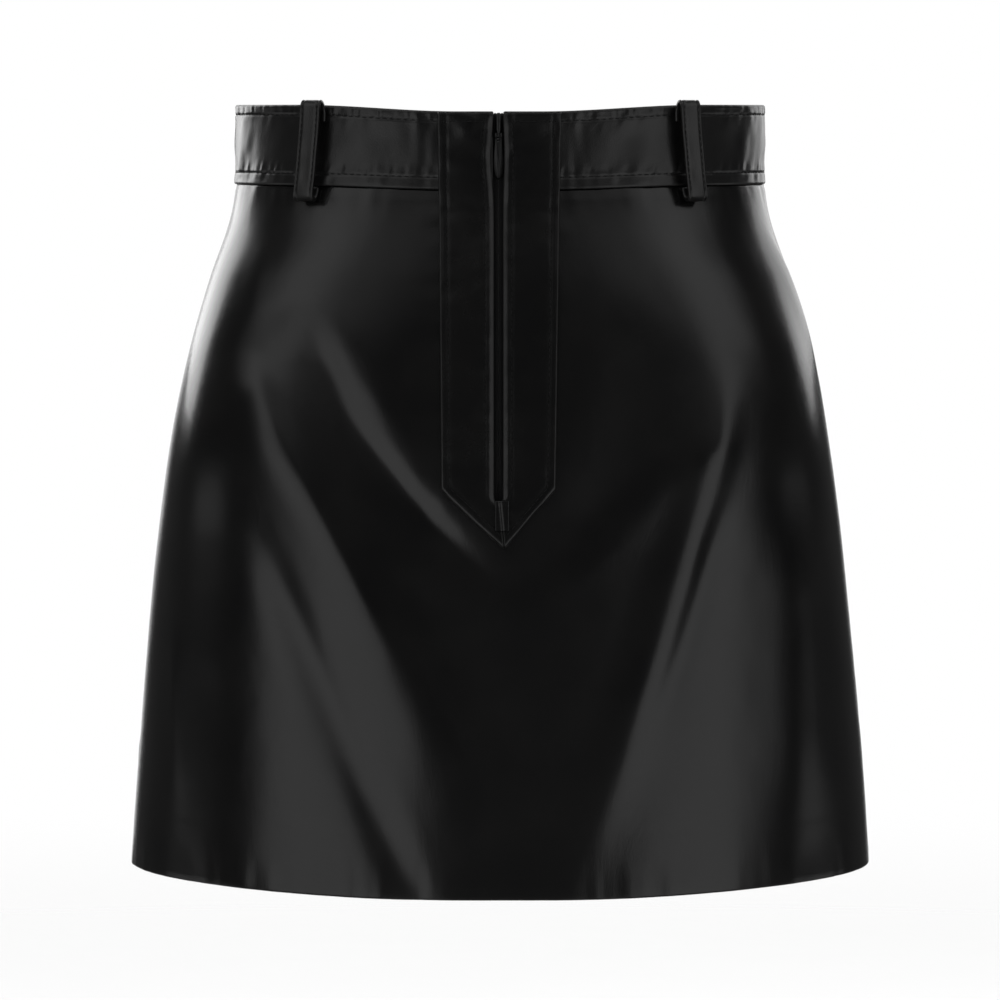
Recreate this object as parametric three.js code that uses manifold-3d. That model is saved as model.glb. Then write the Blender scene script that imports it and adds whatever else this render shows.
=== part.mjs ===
// Leather mini skirt in its worn, hollow form.
// Millimetres, +Z up, the front towards -Y, +X to the right of someone who looks at the front.
// The origin is the centre of the waistband's ring at half its height, where the waist holds it.

import * as THREE from 'three';
import { mergeVertices } from 'three/addons/utils/BufferGeometryUtils.js';
import Module from 'manifold-3d';

const wasm = await Module();
wasm.setup();

// Driving sizes of the skirt
const waistTop = 20;
const bandLower = -18.5;
const hemLevel = -351;
const leather = 1.2;
const bandProud = 1.0;
const seamGap = 0.3;

// The waistband's edges dip at the front and the back, over the bearings from full to none
const topDip = { front: 3.2, back: 6.4 };
const lowerDip = { front: 1.8, back: 6.4 };
const dipReach = { full: 12, none: 55 };

// The hem hangs lower at the front, over the bearings from full to none
const hemDrop = { depth: 3.7, full: 15, none: 80 };

// The turned hem doubles the leather inside
const hemTurn = { top: -320, step: 3, middle: -337, thick: 1.2 };

// The slit, the two placket halves over it and the zip behind it
const slitX = -0.7;
const slitHalf = 2.8;
const slitEnd = -167;
const placketLeather = 1.3;
const placketTopLeft = -29.3;
const placketTopRight = 28.9;
const placketCornerLeft = -27.6;
const placketCornerRight = 26.2;
const placketCornerZ = -161.5;
const placketTipX = 1.9;
const placketTipZ = -189.5;
const placketTop = 16.5;
const lipHalf = 2.2;
const lipBulge = { left: 1.5, right: 0.6 };
const lipBulgeZ = -5;
const lipBulgeLength = 15;
const lipRoll = 0.45;
const lipRollWidth = 3;
const lipClose = { above: 2, below: 3 };
const bandStep = { top: -19.5, bottom: -31 };
const endTab = { left: -2.4, right: 4.4, top: -166.5, bottom: -181, thick: 1.0 };
const tape = { width: 11.5, thick: 1.0, top: 15.8, bottom: -172 };
const tapeRise = { height: 1.0, from: 0.9, to: 2.2, start: 4, full: 12 };
const tapeSplit = { half: 1.5, closedHalf: 0.15, z: 4.5, length: 3 };
const coil = { half: 1.6, thick: 1.4, top: 5.8, bottom: -168 };

// The slider behind the tapes, its lug in the slit and the pull on the lug's pin
const slider = { half: 3.4, thick: 3.0, top: 16, bottom: 6.4 };
const neck = { half: 0.8, top: 15, bottom: 8 };
const lug = { half: 1.0, eyeHalf: 0.6, back: 0.7, front: 0.5, top: 16.2, shoulder: 1.9, eyeRadius: 0.75 };
const pin = { radius: 0.45, half: 1.6, z: 5.3, out: 1.3 };
const pull = { thick: 0.9, cheek: 0.9, eye: 0.8, knuckle: 1.35, slot: 2.9 };
const cutClear = 1;
const joinDepth = 0.5;

// Half the pull's outline, by distance below the pin
const pullOutline = [
  { half: 1.6, below: 1.0 },
  { half: 1.75, below: 4 },
  { half: 2.15, below: 9 },
  { half: 2.35, below: 14 },
  { half: 1.75, below: 18.4 },
  { half: 0, below: 20.4 },
];

// Belt loops: 10.5 mm straps, bearings counted from the front centre
const loopWidth = 10.5;
const loopThick = 2.0;
const loopLean = 1.5;
const loopLeanFrom = 20;
const loopLeanTo = -26;
const loopPlaces = [
  { name: 'belt_loop_front_left', bearing: -48.6 },
  { name: 'belt_loop_front_right', bearing: 48.6 },
  { name: 'belt_loop_back_left', bearing: -131.4 },
  { name: 'belt_loop_back_right', bearing: 131.4 },
  { name: 'belt_loop_back_centre', bearing: 180 },
];

// Middle line of a loop's strap: out from the skirt's surface, and height
const loopPath = [
  { out: -0.7, z: 21.4 },
  { out: 2.2, z: 21.4 },
  { out: 5.2, z: 19.8 },
  { out: 7.9, z: 16 },
  { out: 9.3, z: 9 },
  { out: 9.7, z: 0 },
  { out: 9.2, z: -9 },
  { out: 8.0, z: -17 },
  { out: 6.5, z: -22.8 },
  { out: 4.4, z: -25.5 },
  { out: 2.3, z: -25.4 },
  { out: 1.35, z: -23.2 },
  { out: 1.35, z: -20.6 },
];

// Sections of the skirt's outer surface: a ring at each height, squarer at the hips
const sections = [
  { z: 22, halfWidth: 128.4, frontDepth: 96, backDepth: 96, frontSquare: 2.15, backSquare: 2.15 },
  { z: 0, halfWidth: 128.5, frontDepth: 96.6, backDepth: 97, frontSquare: 2.17, backSquare: 2.17 },
  { z: -19, halfWidth: 128.9, frontDepth: 98, backDepth: 99, frontSquare: 2.2, backSquare: 2.2 },
  { z: -37, halfWidth: 132.3, frontDepth: 101, backDepth: 103, frontSquare: 2.3, backSquare: 2.25 },
  { z: -63, halfWidth: 141.4, frontDepth: 106, backDepth: 111, frontSquare: 2.6, backSquare: 2.35 },
  { z: -100, halfWidth: 151.7, frontDepth: 111.5, backDepth: 121, frontSquare: 2.95, backSquare: 2.5 },
  { z: -139, halfWidth: 160, frontDepth: 116, backDepth: 128, frontSquare: 2.95, backSquare: 2.55 },
  { z: -188, halfWidth: 167.1, frontDepth: 120, backDepth: 131.5, frontSquare: 2.5, backSquare: 2.45 },
  { z: -247, halfWidth: 173.2, frontDepth: 124.5, backDepth: 133, frontSquare: 2.3, backSquare: 2.3 },
  { z: -306, halfWidth: 178.4, frontDepth: 129, backDepth: 134, frontSquare: 2.2, backSquare: 2.2 },
  { z: -351, halfWidth: 181.6, frontDepth: 132, backDepth: 134.5, frontSquare: 2.15, backSquare: 2.15 },
];

// Largest folds: a ridge or a trough whose bearing runs from the top by the middle to the end.
// It rises over the onset's share of its length and fades over the release's, and a positive
// lean makes the side with the larger bearings the steeper one.
const folds = table(
  ['bearing', 'middle', 'end', 'top', 'bottom', 'width', 'spread', 'height', 'onset', 'release', 'lean'],
  [
    [-55, -37, -20, -94, -250, 4.5, 0, 1.6, 0.15, 0.5, 0.5],
    [-57, -20, 12, -100, -400, 6.5, 5.5, 3.4, 0.45, 0.5, 0.2],
    [-45, -29, 2, -70, -215, 8.5, 0, -3.4, 0.25, 0.35, 0.4],
    [-52, -31.5, -7.5, -165, -400, 3.5, 1, -1.4, 0.25, 0.3, 0],
    [48.5, 30.5, 4, -100, -400, 3.4, 3, 2.6, 0.16, 0.5, 0],
    [35, 28, 10, -62, -230, 10, 0, -2.2, 0.3, 0.4, 0],
    [48, 27, 2, -125, -235, 5, 2, 1, 0.4, 0.4, 0],
    [0, 2, 5, -200, -440, 7, 6, -1.4, 0.4, 0.3, 0],
    [-68, -66, -63, -190, -350, 4, 1, 0.9, 0.4, 0.5, 0],
    [74, 79, 82, -30, -150, 4, 1, 1.3, 0.4, 0.5, 0],
    [60.5, 60.5, 59, -160, -350, 6, 0, 2.4, 0.3, 0.4, 0],
    [-126, -155, -188, -100, -400, 6.5, 6, 3.4, 0.16, 0.5, 0],
    [128, 151, 176, -98, -400, 6, 5, 3.2, 0.16, 0.5, 0],
    [-144, -158, -176, -95, -215, 5, 1.5, 1.4, 0.35, 0.4, 0],
    [137, 154, 177, -120, -240, 5, 2, 1.3, 0.35, 0.4, 0],
    [180, 180, 178, -210, -440, 8, 6, -1.6, 0.4, 0.3, 0],
    [-104, -108, -112, -180, -420, 6, 3, 1.6, 0.4, 0.4, 0],
    [106, 108, 109, -160, -420, 6, 3, 1.5, 0.4, 0.4, 0],
  ],
);

// Cells of the pieces' walls, and the sides of a round
const cells = {
  frontHalf: 18,
  back: 34,
  frontBand: 14,
  backBand: 28,
  placketRows: 22,
  endTab: 4,
  zipRows: 16,
  loop: 2,
  round: 16,
};

// Rows of the panels: even down to the slit's end, then at these heights
const upperRows = 9;
const lowerLevels = [-178, -190, -204, -220, -237, -255, -273, -290, -306];

// A waistband piece from its top to its lower edge, drawn in at both
const bandRows = [
  { share: 0, inset: 0.35 },
  { share: 0.03, inset: 0 },
  { share: 0.5, inset: 0 },
  { share: 0.97, inset: 0 },
  { share: 1, inset: 0.35 },
];

// Shares of a placket half's width from its lip, and distances from a tape's inner edge
const placketColumns = [0, 0.05, 0.13, 0.42, 0.72, 1];
const tapeColumns = [0, 0.8, 2.0, tape.width];

// Finishes
const finishes = {
  leather: { color: 0x0c0c0c, roughness: 0.34, metalness: 0 },
  edging: { color: 0x090909, roughness: 0.4, metalness: 0 },
  tape: { color: 0x0b0b0c, roughness: 0.85, metalness: 0 },
  coil: { color: 0x0d0d0e, roughness: 0.5, metalness: 0 },
  metal: { color: 0x1a1a1b, roughness: 0.35, metalness: 0.6 },
};

const radians = Math.PI / 180;
const weld = 1e-4;
const mix = (from, to, share) => from + (to - from) * share;

// Rows of numbers as objects, their fields named by the head
function table(head, rows) {
  return rows.map((row) => Object.fromEntries(head.map((name, column) => [name, row[column]])));
}

function ease(from, to, value) {
  const share = Math.min(1, Math.max(0, (value - from) / (to - from)));
  return share * share * (3 - 2 * share);
}

// A smooth curve through one column of a table, sorted by falling height
function columnAt(rows, column, z) {
  const last = rows.length - 1;
  const level = Math.min(rows[0].z, Math.max(rows[last].z, z));
  let row = 0;
  while (row < last - 1 && level < rows[row + 1].z) row += 1;
  const slope = (index) => {
    const above = rows[Math.max(0, index - 1)];
    const below = rows[Math.min(last, index + 1)];
    return (below[column] - above[column]) / (below.z - above.z);
  };
  const from = rows[row];
  const to = rows[row + 1];
  const step = to.z - from.z;
  const t = (level - from.z) / step;
  const start = from[column] * (1 + 2 * t) * (1 - t) * (1 - t) + slope(row) * step * t * (1 - t) * (1 - t);
  const end = to[column] * t * t * (3 - 2 * t) + slope(row + 1) * step * t * t * (t - 1);
  return start + end;
}

function turned(bearing) {
  return ((bearing + 540) % 360) - 180;
}

// How far the folds lift the surface at a bearing and height
function foldLift(bearing, z) {
  let lift = 0;
  for (const fold of folds) {
    const share = (fold.top - z) / (fold.top - fold.bottom);
    if (share <= 0 || share >= 1) continue;
    const bend = 4 * fold.middle - 3 * fold.bearing - fold.end;
    const path = fold.bearing + bend * share + (fold.end - fold.bearing - bend) * share * share;
    const offset = turned(bearing - path);
    const width = (fold.width + fold.spread * share) * (1 - fold.lean * Math.sign(offset));
    const fade = ease(0, fold.onset, share) * ease(1, 1 - fold.release, share);
    lift += fold.height * fade * Math.exp(-((offset / width) ** 2));
  }
  return lift;
}

// A point of the skirt's outer surface
function surface(bearing, z) {
  const angle = turned(bearing) * radians;
  const front = Math.cos(angle) >= 0;
  const halfWidth = columnAt(sections, 'halfWidth', z);
  const depth = columnAt(sections, front ? 'frontDepth' : 'backDepth', z);
  const power = columnAt(sections, front ? 'frontSquare' : 'backSquare', z);
  const across = (Math.abs(Math.sin(angle)) / halfWidth) ** power;
  const along = (Math.abs(Math.cos(angle)) / depth) ** power;
  const radius = (across + along) ** (-1 / power) + foldLift(bearing, z);
  return new THREE.Vector3(radius * Math.sin(angle), -radius * Math.cos(angle), z);
}

function normalAt(bearing, z) {
  const turn = 0.4;
  const rise = 0.8;
  const sideways = surface(bearing + turn, z).sub(surface(bearing - turn, z));
  const upwards = surface(bearing, z + rise).sub(surface(bearing, z - rise));
  return sideways.cross(upwards).normalize();
}

// A point moved straight out of the surface, or in with a negative distance
function lifted(bearing, z, out) {
  return surface(bearing, z).addScaledVector(normalAt(bearing, z), out);
}

// The bearing where the front surface has a given X
function bearingOfX(x, z) {
  const rounds = 8;
  let bearing = 0;
  for (let round = 0; round < rounds; round += 1) {
    bearing = Math.atan2(x, -surface(bearing, z).y) / radians;
  }
  return bearing;
}

// A waistband edge's height, which dips round the centre of the front and of the back
function dipped(level, dip, bearing) {
  const fromFront = Math.abs(turned(bearing));
  const fromCentre = Math.min(fromFront, 180 - fromFront);
  const depth = fromFront < 90 ? dip.front : dip.back;
  return level - depth * (1 - ease(dipReach.full, dipReach.none, fromCentre));
}

const topEdge = (bearing) => dipped(waistTop, topDip, bearing);
const lowerEdge = (bearing) => dipped(bandLower, lowerDip, bearing);

function hemEdge(bearing) {
  return hemLevel - hemDrop.depth * (1 - ease(hemDrop.full, hemDrop.none, Math.abs(turned(bearing))));
}

// A side seam's bearing, half a seam gap short of the side
function sideBearing(side, z) {
  return side * (90 - seamGap / 2 / columnAt(sections, 'halfWidth', z) / radians);
}

// A bearing on the back, by its share of the way from the right seam to the left one
function backBearing(share, z) {
  return 180 + mix(-1, 1, share) * sideBearing(1, z);
}

// A closed wall between an outer and an inner grid of points, over the cells that are kept
function wall(columns, rows, outerAt, innerAt, keep = () => true) {
  const points = [];
  const indices = [];
  const numbers = new Map();
  const number = (side, column, row) => {
    const key = `${side},${column},${row}`;
    if (!numbers.has(key)) {
      numbers.set(key, points.length / 3);
      points.push(...(side === 'outer' ? outerAt : innerAt)(column, row).toArray());
    }
    return numbers.get(key);
  };
  const quad = (a, b, c, d) => indices.push(a, b, c, a, c, d);
  const kept = (column, row) =>
    column >= 0 && row >= 0 && column < columns && row < rows && keep(column, row);
  const edge = (fromColumn, fromRow, toColumn, toRow) => quad(
    number('outer', toColumn, toRow),
    number('outer', fromColumn, fromRow),
    number('inner', fromColumn, fromRow),
    number('inner', toColumn, toRow),
  );
  for (let column = 0; column < columns; column += 1) {
    for (let row = 0; row < rows; row += 1) {
      if (!kept(column, row)) continue;
      const corners = [[column, row], [column, row + 1], [column + 1, row + 1], [column + 1, row]];
      quad(...corners.map(([i, j]) => number('outer', i, j)));
      quad(...corners.map(([i, j]) => number('inner', i, j)).reverse());
      if (!kept(column - 1, row)) edge(column, row, column, row + 1);
      if (!kept(column, row + 1)) edge(column, row + 1, column + 1, row + 1);
      if (!kept(column + 1, row)) edge(column + 1, row + 1, column + 1, row);
      if (!kept(column, row - 1)) edge(column + 1, row, column, row);
    }
  }
  const geometry = new THREE.BufferGeometry();
  geometry.setAttribute('position', new THREE.Float32BufferAttribute(points, 3));
  geometry.setIndex(indices);
  geometry.computeVertexNormals();
  return geometry;
}

function piece(name, geometry, finish) {
  const mesh = new THREE.Mesh(geometry, new THREE.MeshStandardMaterial(finishes[finish]));
  mesh.name = name;
  return mesh;
}

const panelLevels = [slitEnd, ...lowerLevels, hemTurn.top, hemTurn.top - hemTurn.step, hemTurn.middle];
const panelRows = upperRows + panelLevels.length;

function panelHeight(row, bearing) {
  if (row === panelRows) return hemEdge(bearing);
  if (row >= upperRows) return panelLevels[row - upperRows];
  return mix(lowerEdge(bearing) - seamGap, slitEnd, row / upperRows);
}

function panelInset(z) {
  return leather + (z < hemTurn.top - hemTurn.step / 2 ? hemTurn.thick : 0);
}

function panel(bearingOf, columns, keep) {
  const place = (column, row) => {
    const z = panelHeight(row, bearingOf(column, slitEnd));
    return { bearing: bearingOf(column, z), z };
  };
  const outer = (column, row) => {
    const at = place(column, row);
    return surface(at.bearing, at.z);
  };
  const inner = (column, row) => {
    const at = place(column, row);
    const point = lifted(at.bearing, at.z, -panelInset(at.z));
    point.z = at.z;
    return point;
  };
  return wall(columns, panelRows, outer, inner, keep);
}

function frontPanel() {
  const half = cells.frontHalf;
  const bearingOf = (column, z) => {
    const side = column <= half ? -1 : 1;
    const share = side < 0 ? 1 - column / half : (column - half - 1) / half;
    return mix(bearingOfX(slitX + side * slitHalf, z), sideBearing(side, z), share);
  };
  const keep = (column, row) => column !== half || row >= upperRows;
  return piece('front_panel', panel(bearingOf, half * 2 + 1, keep), 'leather');
}

function backPanel() {
  const bearingOf = (column, z) => backBearing(column / cells.back, z);
  return piece('back_panel', panel(bearingOf, cells.back), 'leather');
}

function waistband(name, columns, bearingOf) {
  const place = (column, row) => {
    const rough = bearingOf(column, 0);
    const z = mix(topEdge(rough), lowerEdge(rough), bandRows[row].share);
    return { bearing: bearingOf(column, z), z };
  };
  const shell = (outOf) => (column, row) => {
    const at = place(column, row);
    const point = lifted(at.bearing, at.z, outOf(row));
    point.z = at.z;
    return point;
  };
  const outer = shell((row) => bandProud - bandRows[row].inset);
  const inner = shell(() => -leather);
  return piece(name, wall(columns, bandRows.length - 1, outer, inner), 'leather');
}

function frontBand(name, side) {
  const columns = cells.frontBand;
  return waistband(name, columns, (column, z) => {
    const slit = bearingOfX(slitX + side * slitHalf, z);
    const seam = sideBearing(side, z);
    return side < 0 ? mix(seam, slit, column / columns) : mix(slit, seam, column / columns);
  });
}

function backBand() {
  const columns = cells.backBand;
  return waistband('waistband_back', columns, (column, z) => backBearing(column / columns, z));
}

// The placket's inner edge opens round the pull and closes to a seam below the slit
function lipX(side, z) {
  const bulge = (side < 0 ? lipBulge.left : lipBulge.right) * Math.exp(-(((z - lipBulgeZ) / lipBulgeLength) ** 2));
  const open = lipHalf + bulge;
  const closing = ease(slitEnd + lipClose.above, slitEnd - lipClose.below, z);
  const centre = mix(slitX, placketTipX, ease(slitEnd + lipClose.above, placketTipZ, z));
  return centre + side * mix(open, seamGap / 2, closing);
}

// Cloth over the band's lower edge steps down to the panel in a short slope
function underPlacket(z) {
  return seamGap + bandProud * ease(bandStep.bottom, bandStep.top, z);
}

function placket(name, side) {
  const topX = side < 0 ? placketTopLeft : placketTopRight;
  const cornerX = side < 0 ? placketCornerLeft : placketCornerRight;
  const outerX = (z) => mix(topX, cornerX, Math.min(1, (waistTop - z) / (waistTop - placketCornerZ)));
  const lowerZ = (share) => mix(placketTipZ, placketCornerZ, share);
  const columns = placketColumns.length - 1;
  const rows = cells.placketRows;
  const point = (column, row, thick) => {
    const share = placketColumns[side < 0 ? columns - column : column];
    const z = mix(placketTop, lowerZ(share), row / rows);
    const x = mix(lipX(side, z), outerX(z), share);
    const roll = lipRoll * Math.max(0, 1 - Math.abs(x - lipX(side, z)) / lipRollWidth);
    return lifted(bearingOfX(x, z), z, underPlacket(z) + thick * (placketLeather + roll));
  };
  const geometry = wall(columns, rows, (i, j) => point(i, j, 1), (i, j) => point(i, j, 0));
  return piece(name, geometry, 'edging');
}

function placketEndTab() {
  const count = cells.endTab;
  const point = (column, row, out) => {
    const z = mix(endTab.top, endTab.bottom, row / count);
    const x = mix(endTab.left, endTab.right, column / count);
    const base = underPlacket(z) + placketLeather + lipRoll + seamGap;
    return lifted(bearingOfX(x, z), z, base + out * endTab.thick);
  };
  const geometry = wall(count, count, (i, j) => point(i, j, 1), (i, j) => point(i, j, 0));
  return piece('placket_end_tab', geometry, 'edging');
}

// A zip tape lies behind the panel, and its inner edge rises into the slit
function tapeOut(x, z) {
  const away = Math.abs(x - slitX);
  const rise = tapeRise.height * ease(slitEnd + tapeRise.start, slitEnd + tapeRise.full, z);
  return -leather - seamGap + rise * (1 - ease(tapeRise.from, tapeRise.to, away));
}

function zipTape(name, side) {
  const columns = tapeColumns.length - 1;
  const rows = cells.zipRows;
  const point = (column, row, inset) => {
    const distance = tapeColumns[side < 0 ? columns - column : column];
    const z = mix(tape.top, tape.bottom, row / rows);
    const opened = ease(tapeSplit.z - tapeSplit.length, tapeSplit.z, z);
    const half = mix(tapeSplit.closedHalf, tapeSplit.half, opened);
    const x = slitX + side * mix(half, tape.width, distance / tape.width);
    return lifted(bearingOfX(x, z), z, tapeOut(x, z) - inset);
  };
  const geometry = wall(columns, rows, (i, j) => point(i, j, 0), (i, j) => point(i, j, tape.thick));
  return piece(name, geometry, 'tape');
}

const tapeBack = -leather - seamGap - tape.thick;

// A straight-sided bar behind the tapes, which follows the front surface down the slit
function zipCoil() {
  const rows = cells.zipRows;
  const outer = tapeBack - seamGap;
  const point = (column, row, out) => {
    const z = mix(coil.top, coil.bottom, row / rows);
    const x = slitX + (column === 0 ? -coil.half : coil.half);
    const spine = lifted(bearingOfX(slitX, z), z, out);
    return new THREE.Vector3(x, spine.y, spine.z);
  };
  const geometry = wall(1, rows, (i, j) => point(i, j, outer), (i, j) => point(i, j, outer - coil.thick));
  return piece('zip_coil', geometry, 'coil');
}

// Solids made by joining and cutting
function solidOf(geometry) {
  const bare = geometry.clone();
  bare.deleteAttribute('normal');
  bare.deleteAttribute('uv');
  const merged = mergeVertices(bare, weld);
  const vertProperties = new Float32Array(merged.getAttribute('position').array);
  const triVerts = new Uint32Array(merged.getIndex().array);
  return new wasm.Manifold(new wasm.Mesh({ numProp: 3, vertProperties, triVerts }));
}

function geometryOf(solid) {
  const mesh = solid.getMesh();
  const geometry = new THREE.BufferGeometry();
  geometry.setAttribute('position', new THREE.BufferAttribute(new Float32Array(mesh.vertProperties), 3));
  geometry.setIndex(Array.from(mesh.triVerts));
  geometry.computeVertexNormals();
  return geometry;
}

// A box between two corners, in a frame whose Y grows out of the surface
function block(low, high) {
  const size = high.map((value, axis) => value - low[axis]);
  const centre = high.map((value, axis) => (value + low[axis]) / 2);
  return solidOf(new THREE.BoxGeometry(...size).translate(...centre));
}

function rodAlongX(radius, fromX, toX) {
  const rod = new THREE.CylinderGeometry(radius, radius, toX - fromX, cells.round);
  return solidOf(rod.rotateZ(Math.PI / 2).translate((fromX + toX) / 2, 0, 0));
}

// The slider and the pull are made round the pin's axis, then set in the slit
const pinPlace = new THREE.Vector3(slitX, surface(0, pin.z).y - pin.out, pin.z);

function zipSlider() {
  const back = tapeBack - seamGap - pin.out;
  const up = (z) => z - pin.z;
  const body = block(
    [-slider.half, back - slider.thick, up(slider.bottom)],
    [slider.half, back, up(slider.top)],
  );
  const stem = block([-neck.half, back - joinDepth, up(neck.bottom)], [neck.half, 0, up(neck.top)]);
  const plate = block([-lug.half, -lug.back, lug.shoulder], [lug.half, lug.front, up(lug.top)]);
  const tongue = block([-lug.eyeHalf, -lug.back, 0], [lug.eyeHalf, lug.front, lug.shoulder + joinDepth]);
  const eye = rodAlongX(lug.eyeRadius, -lug.eyeHalf, lug.eyeHalf);
  const pivot = rodAlongX(pin.radius, -pin.half, pin.half);
  const joined = [stem, plate, tongue, eye, pivot].reduce((whole, next) => whole.add(next), body);
  return setInSlit('zip_slider', joined);
}

function zipPull() {
  const start = pullOutline[0];
  const left = pullOutline.slice(1).map(({ half, below }) => new THREE.Vector2(-half, -below));
  const right = pullOutline.slice(0, -1).reverse().map(({ half, below }) => new THREE.Vector2(half, -below));
  const outline = new THREE.Shape().moveTo(-start.half, -start.below).splineThru([...left, ...right]);
  const options = { depth: pull.thick, bevelEnabled: false, curveSegments: 3 };
  const sheet = new THREE.ExtrudeGeometry(outline, options);
  const drop = solidOf(sheet.translate(0, 0, -pull.thick / 2).rotateX(Math.PI / 2));
  const slot = block([-pull.cheek, -pull.thick, -pull.slot], [pull.cheek, pull.thick, 0]);
  const knuckles = rodAlongX(pull.knuckle, -start.half, start.half)
    .subtract(rodAlongX(pull.knuckle + cutClear, -pull.cheek, pull.cheek));
  const eye = rodAlongX(pull.eye, -start.half - cutClear, start.half + cutClear);
  return setInSlit('zip_pull', drop.add(knuckles).subtract(slot).subtract(eye));
}

// Turns a solid's outward Y to the front of the skirt and moves it to the pin
function setInSlit(name, solid) {
  const geometry = geometryOf(solid).rotateZ(Math.PI);
  const mesh = piece(name, geometry, 'metal');
  mesh.position.copy(pinPlace);
  return mesh;
}

// A belt loop is a strap that follows its path out of the surface and back, lower where the waist dips
function beltLoop({ name, bearing }) {
  const columns = cells.loop;
  const rows = loopPath.length - 1;
  const drop = waistTop - topEdge(bearing);
  const point = (column, row, side) => {
    const before = loopPath[Math.max(0, row - 1)];
    const after = loopPath[Math.min(rows, row + 1)];
    const along = new THREE.Vector2(after.out - before.out, after.z - before.z).normalize();
    const out = loopPath[row].out - along.y * side * loopThick / 2;
    const z = loopPath[row].z - drop + along.x * side * loopThick / 2;
    const lean = loopLean * ease(loopLeanFrom, loopLeanTo, z) * Math.sign(Math.sin(bearing * radians));
    const here = bearing === 180 ? bearing : bearing + lean * Math.sign(Math.cos(bearing * radians));
    const facing = normalAt(here, 0).setZ(0).normalize();
    const sideways = new THREE.Vector3(-facing.y, facing.x, 0);
    const across = (column / columns - 0.5) * loopWidth;
    const foot = surface(here, z).addScaledVector(facing, out).addScaledVector(sideways, across);
    return foot.setZ(z);
  };
  const geometry = wall(columns, rows, (i, j) => point(i, j, 1), (i, j) => point(i, j, -1));
  return piece(name, geometry, 'leather');
}

const skirt = new THREE.Group();
skirt.add(
  frontPanel(),
  backPanel(),
  frontBand('waistband_front_left', -1),
  frontBand('waistband_front_right', 1),
  backBand(),
  placket('placket_left', -1),
  placket('placket_right', 1),
  placketEndTab(),
);

const zip = new THREE.Group();
zip.add(zipTape('zip_tape_left', -1), zipTape('zip_tape_right', 1), zipCoil(), zipSlider(), zipPull());
skirt.add(zip);

const beltLoops = new THREE.Group();
beltLoops.add(...loopPlaces.map(beltLoop));
skirt.add(beltLoops);

export default skirt;
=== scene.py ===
"""Leather mini skirt in its worn, hollow form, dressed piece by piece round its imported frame.

Metres, +Z up, the front towards -Y, +X to the right of someone who looks at the front.
The origin is the centre of the waistband's ring at half its height, where the waist holds it.
"""

import logging
import math
from dataclasses import dataclass, field
from enum import Enum
from typing import Sequence

import bpy
import numpy as np
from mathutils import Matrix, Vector


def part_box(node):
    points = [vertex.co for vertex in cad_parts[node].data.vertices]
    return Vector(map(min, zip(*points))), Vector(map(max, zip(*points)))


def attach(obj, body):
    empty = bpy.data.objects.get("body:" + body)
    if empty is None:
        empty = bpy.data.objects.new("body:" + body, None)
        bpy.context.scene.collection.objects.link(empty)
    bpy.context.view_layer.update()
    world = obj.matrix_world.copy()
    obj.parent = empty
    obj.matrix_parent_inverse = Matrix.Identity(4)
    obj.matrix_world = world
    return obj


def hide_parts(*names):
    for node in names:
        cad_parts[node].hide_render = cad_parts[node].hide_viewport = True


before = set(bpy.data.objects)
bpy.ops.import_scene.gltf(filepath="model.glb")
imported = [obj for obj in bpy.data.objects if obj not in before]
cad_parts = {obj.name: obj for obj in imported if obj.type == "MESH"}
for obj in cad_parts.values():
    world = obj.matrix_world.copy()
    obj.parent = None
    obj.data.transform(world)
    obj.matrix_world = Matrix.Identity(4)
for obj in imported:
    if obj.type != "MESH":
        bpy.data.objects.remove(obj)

LOG = logging.getLogger("skirt")
MM = 0.001
SKIRT_BODY = "skirt"
PULL_BODY = "pull"

Grid = np.ndarray


class Side(Enum):
    """The wearer's two sides as the front's viewer sees them."""

    LEFT = -1
    RIGHT = 1


class Held(Enum):
    """How a sheet of cloth is held up."""

    HUNG = "hung"
    LAID = "laid"
    FOLDED = "folded"
    STRETCHED = "stretched"


def ease(low: float, high: float, value: Grid) -> Grid:
    """A smooth step.

    Args:
        low: where the step starts.
        high: where it ends, which may be below low.
        value: numbers to step over.

    Returns:
        0 before low, 1 after high and a smooth rise between them.
    """
    share = np.clip((np.asarray(value, dtype=float) - low) / (high - low), 0.0, 1.0)
    return share * share * (3.0 - 2.0 * share)


def mix(start: Grid, end: Grid, share: Grid) -> Grid:
    """The value a share of the way from start to end."""
    return start + (end - start) * share


def bump_of(distance: Grid, width: float) -> Grid:
    """A soft bell of height 1 and the given half width."""
    return np.exp(-((distance / width) ** 2))


def lattice_noise(across: Grid, along: Grid, seed: int) -> Grid:
    """Smooth noise over a lattice of unit cells.

    Args:
        across: first coordinate, in cells.
        along: second coordinate, in cells.
        seed: picks one of many patterns.

    Returns:
        Values from -1 to 1, the same each run.
    """
    across, along = np.broadcast_arrays(np.asarray(across, float), np.asarray(along, float))
    column, row = np.floor(across), np.floor(along)

    def corner(right: int, up: int) -> Grid:
        """The hashed value of one corner of each cell."""
        raw = np.sin((column + right) * 127.1 + (row + up) * 311.7 + seed * 74.7) * 43758.5453
        return raw - np.floor(raw)

    u = ease(0.0, 1.0, across - column)
    v = ease(0.0, 1.0, along - row)
    low = mix(corner(0, 0), corner(1, 0), u)
    high = mix(corner(0, 1), corner(1, 1), u)
    return 2.0 * mix(low, high, v) - 1.0


@dataclass(frozen=True)
class Section:
    """The skirt's ring at one height: its half width, depths and squareness, front and back."""

    z: float
    half_width: float
    front_depth: float
    back_depth: float
    front_square: float
    back_square: float


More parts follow.
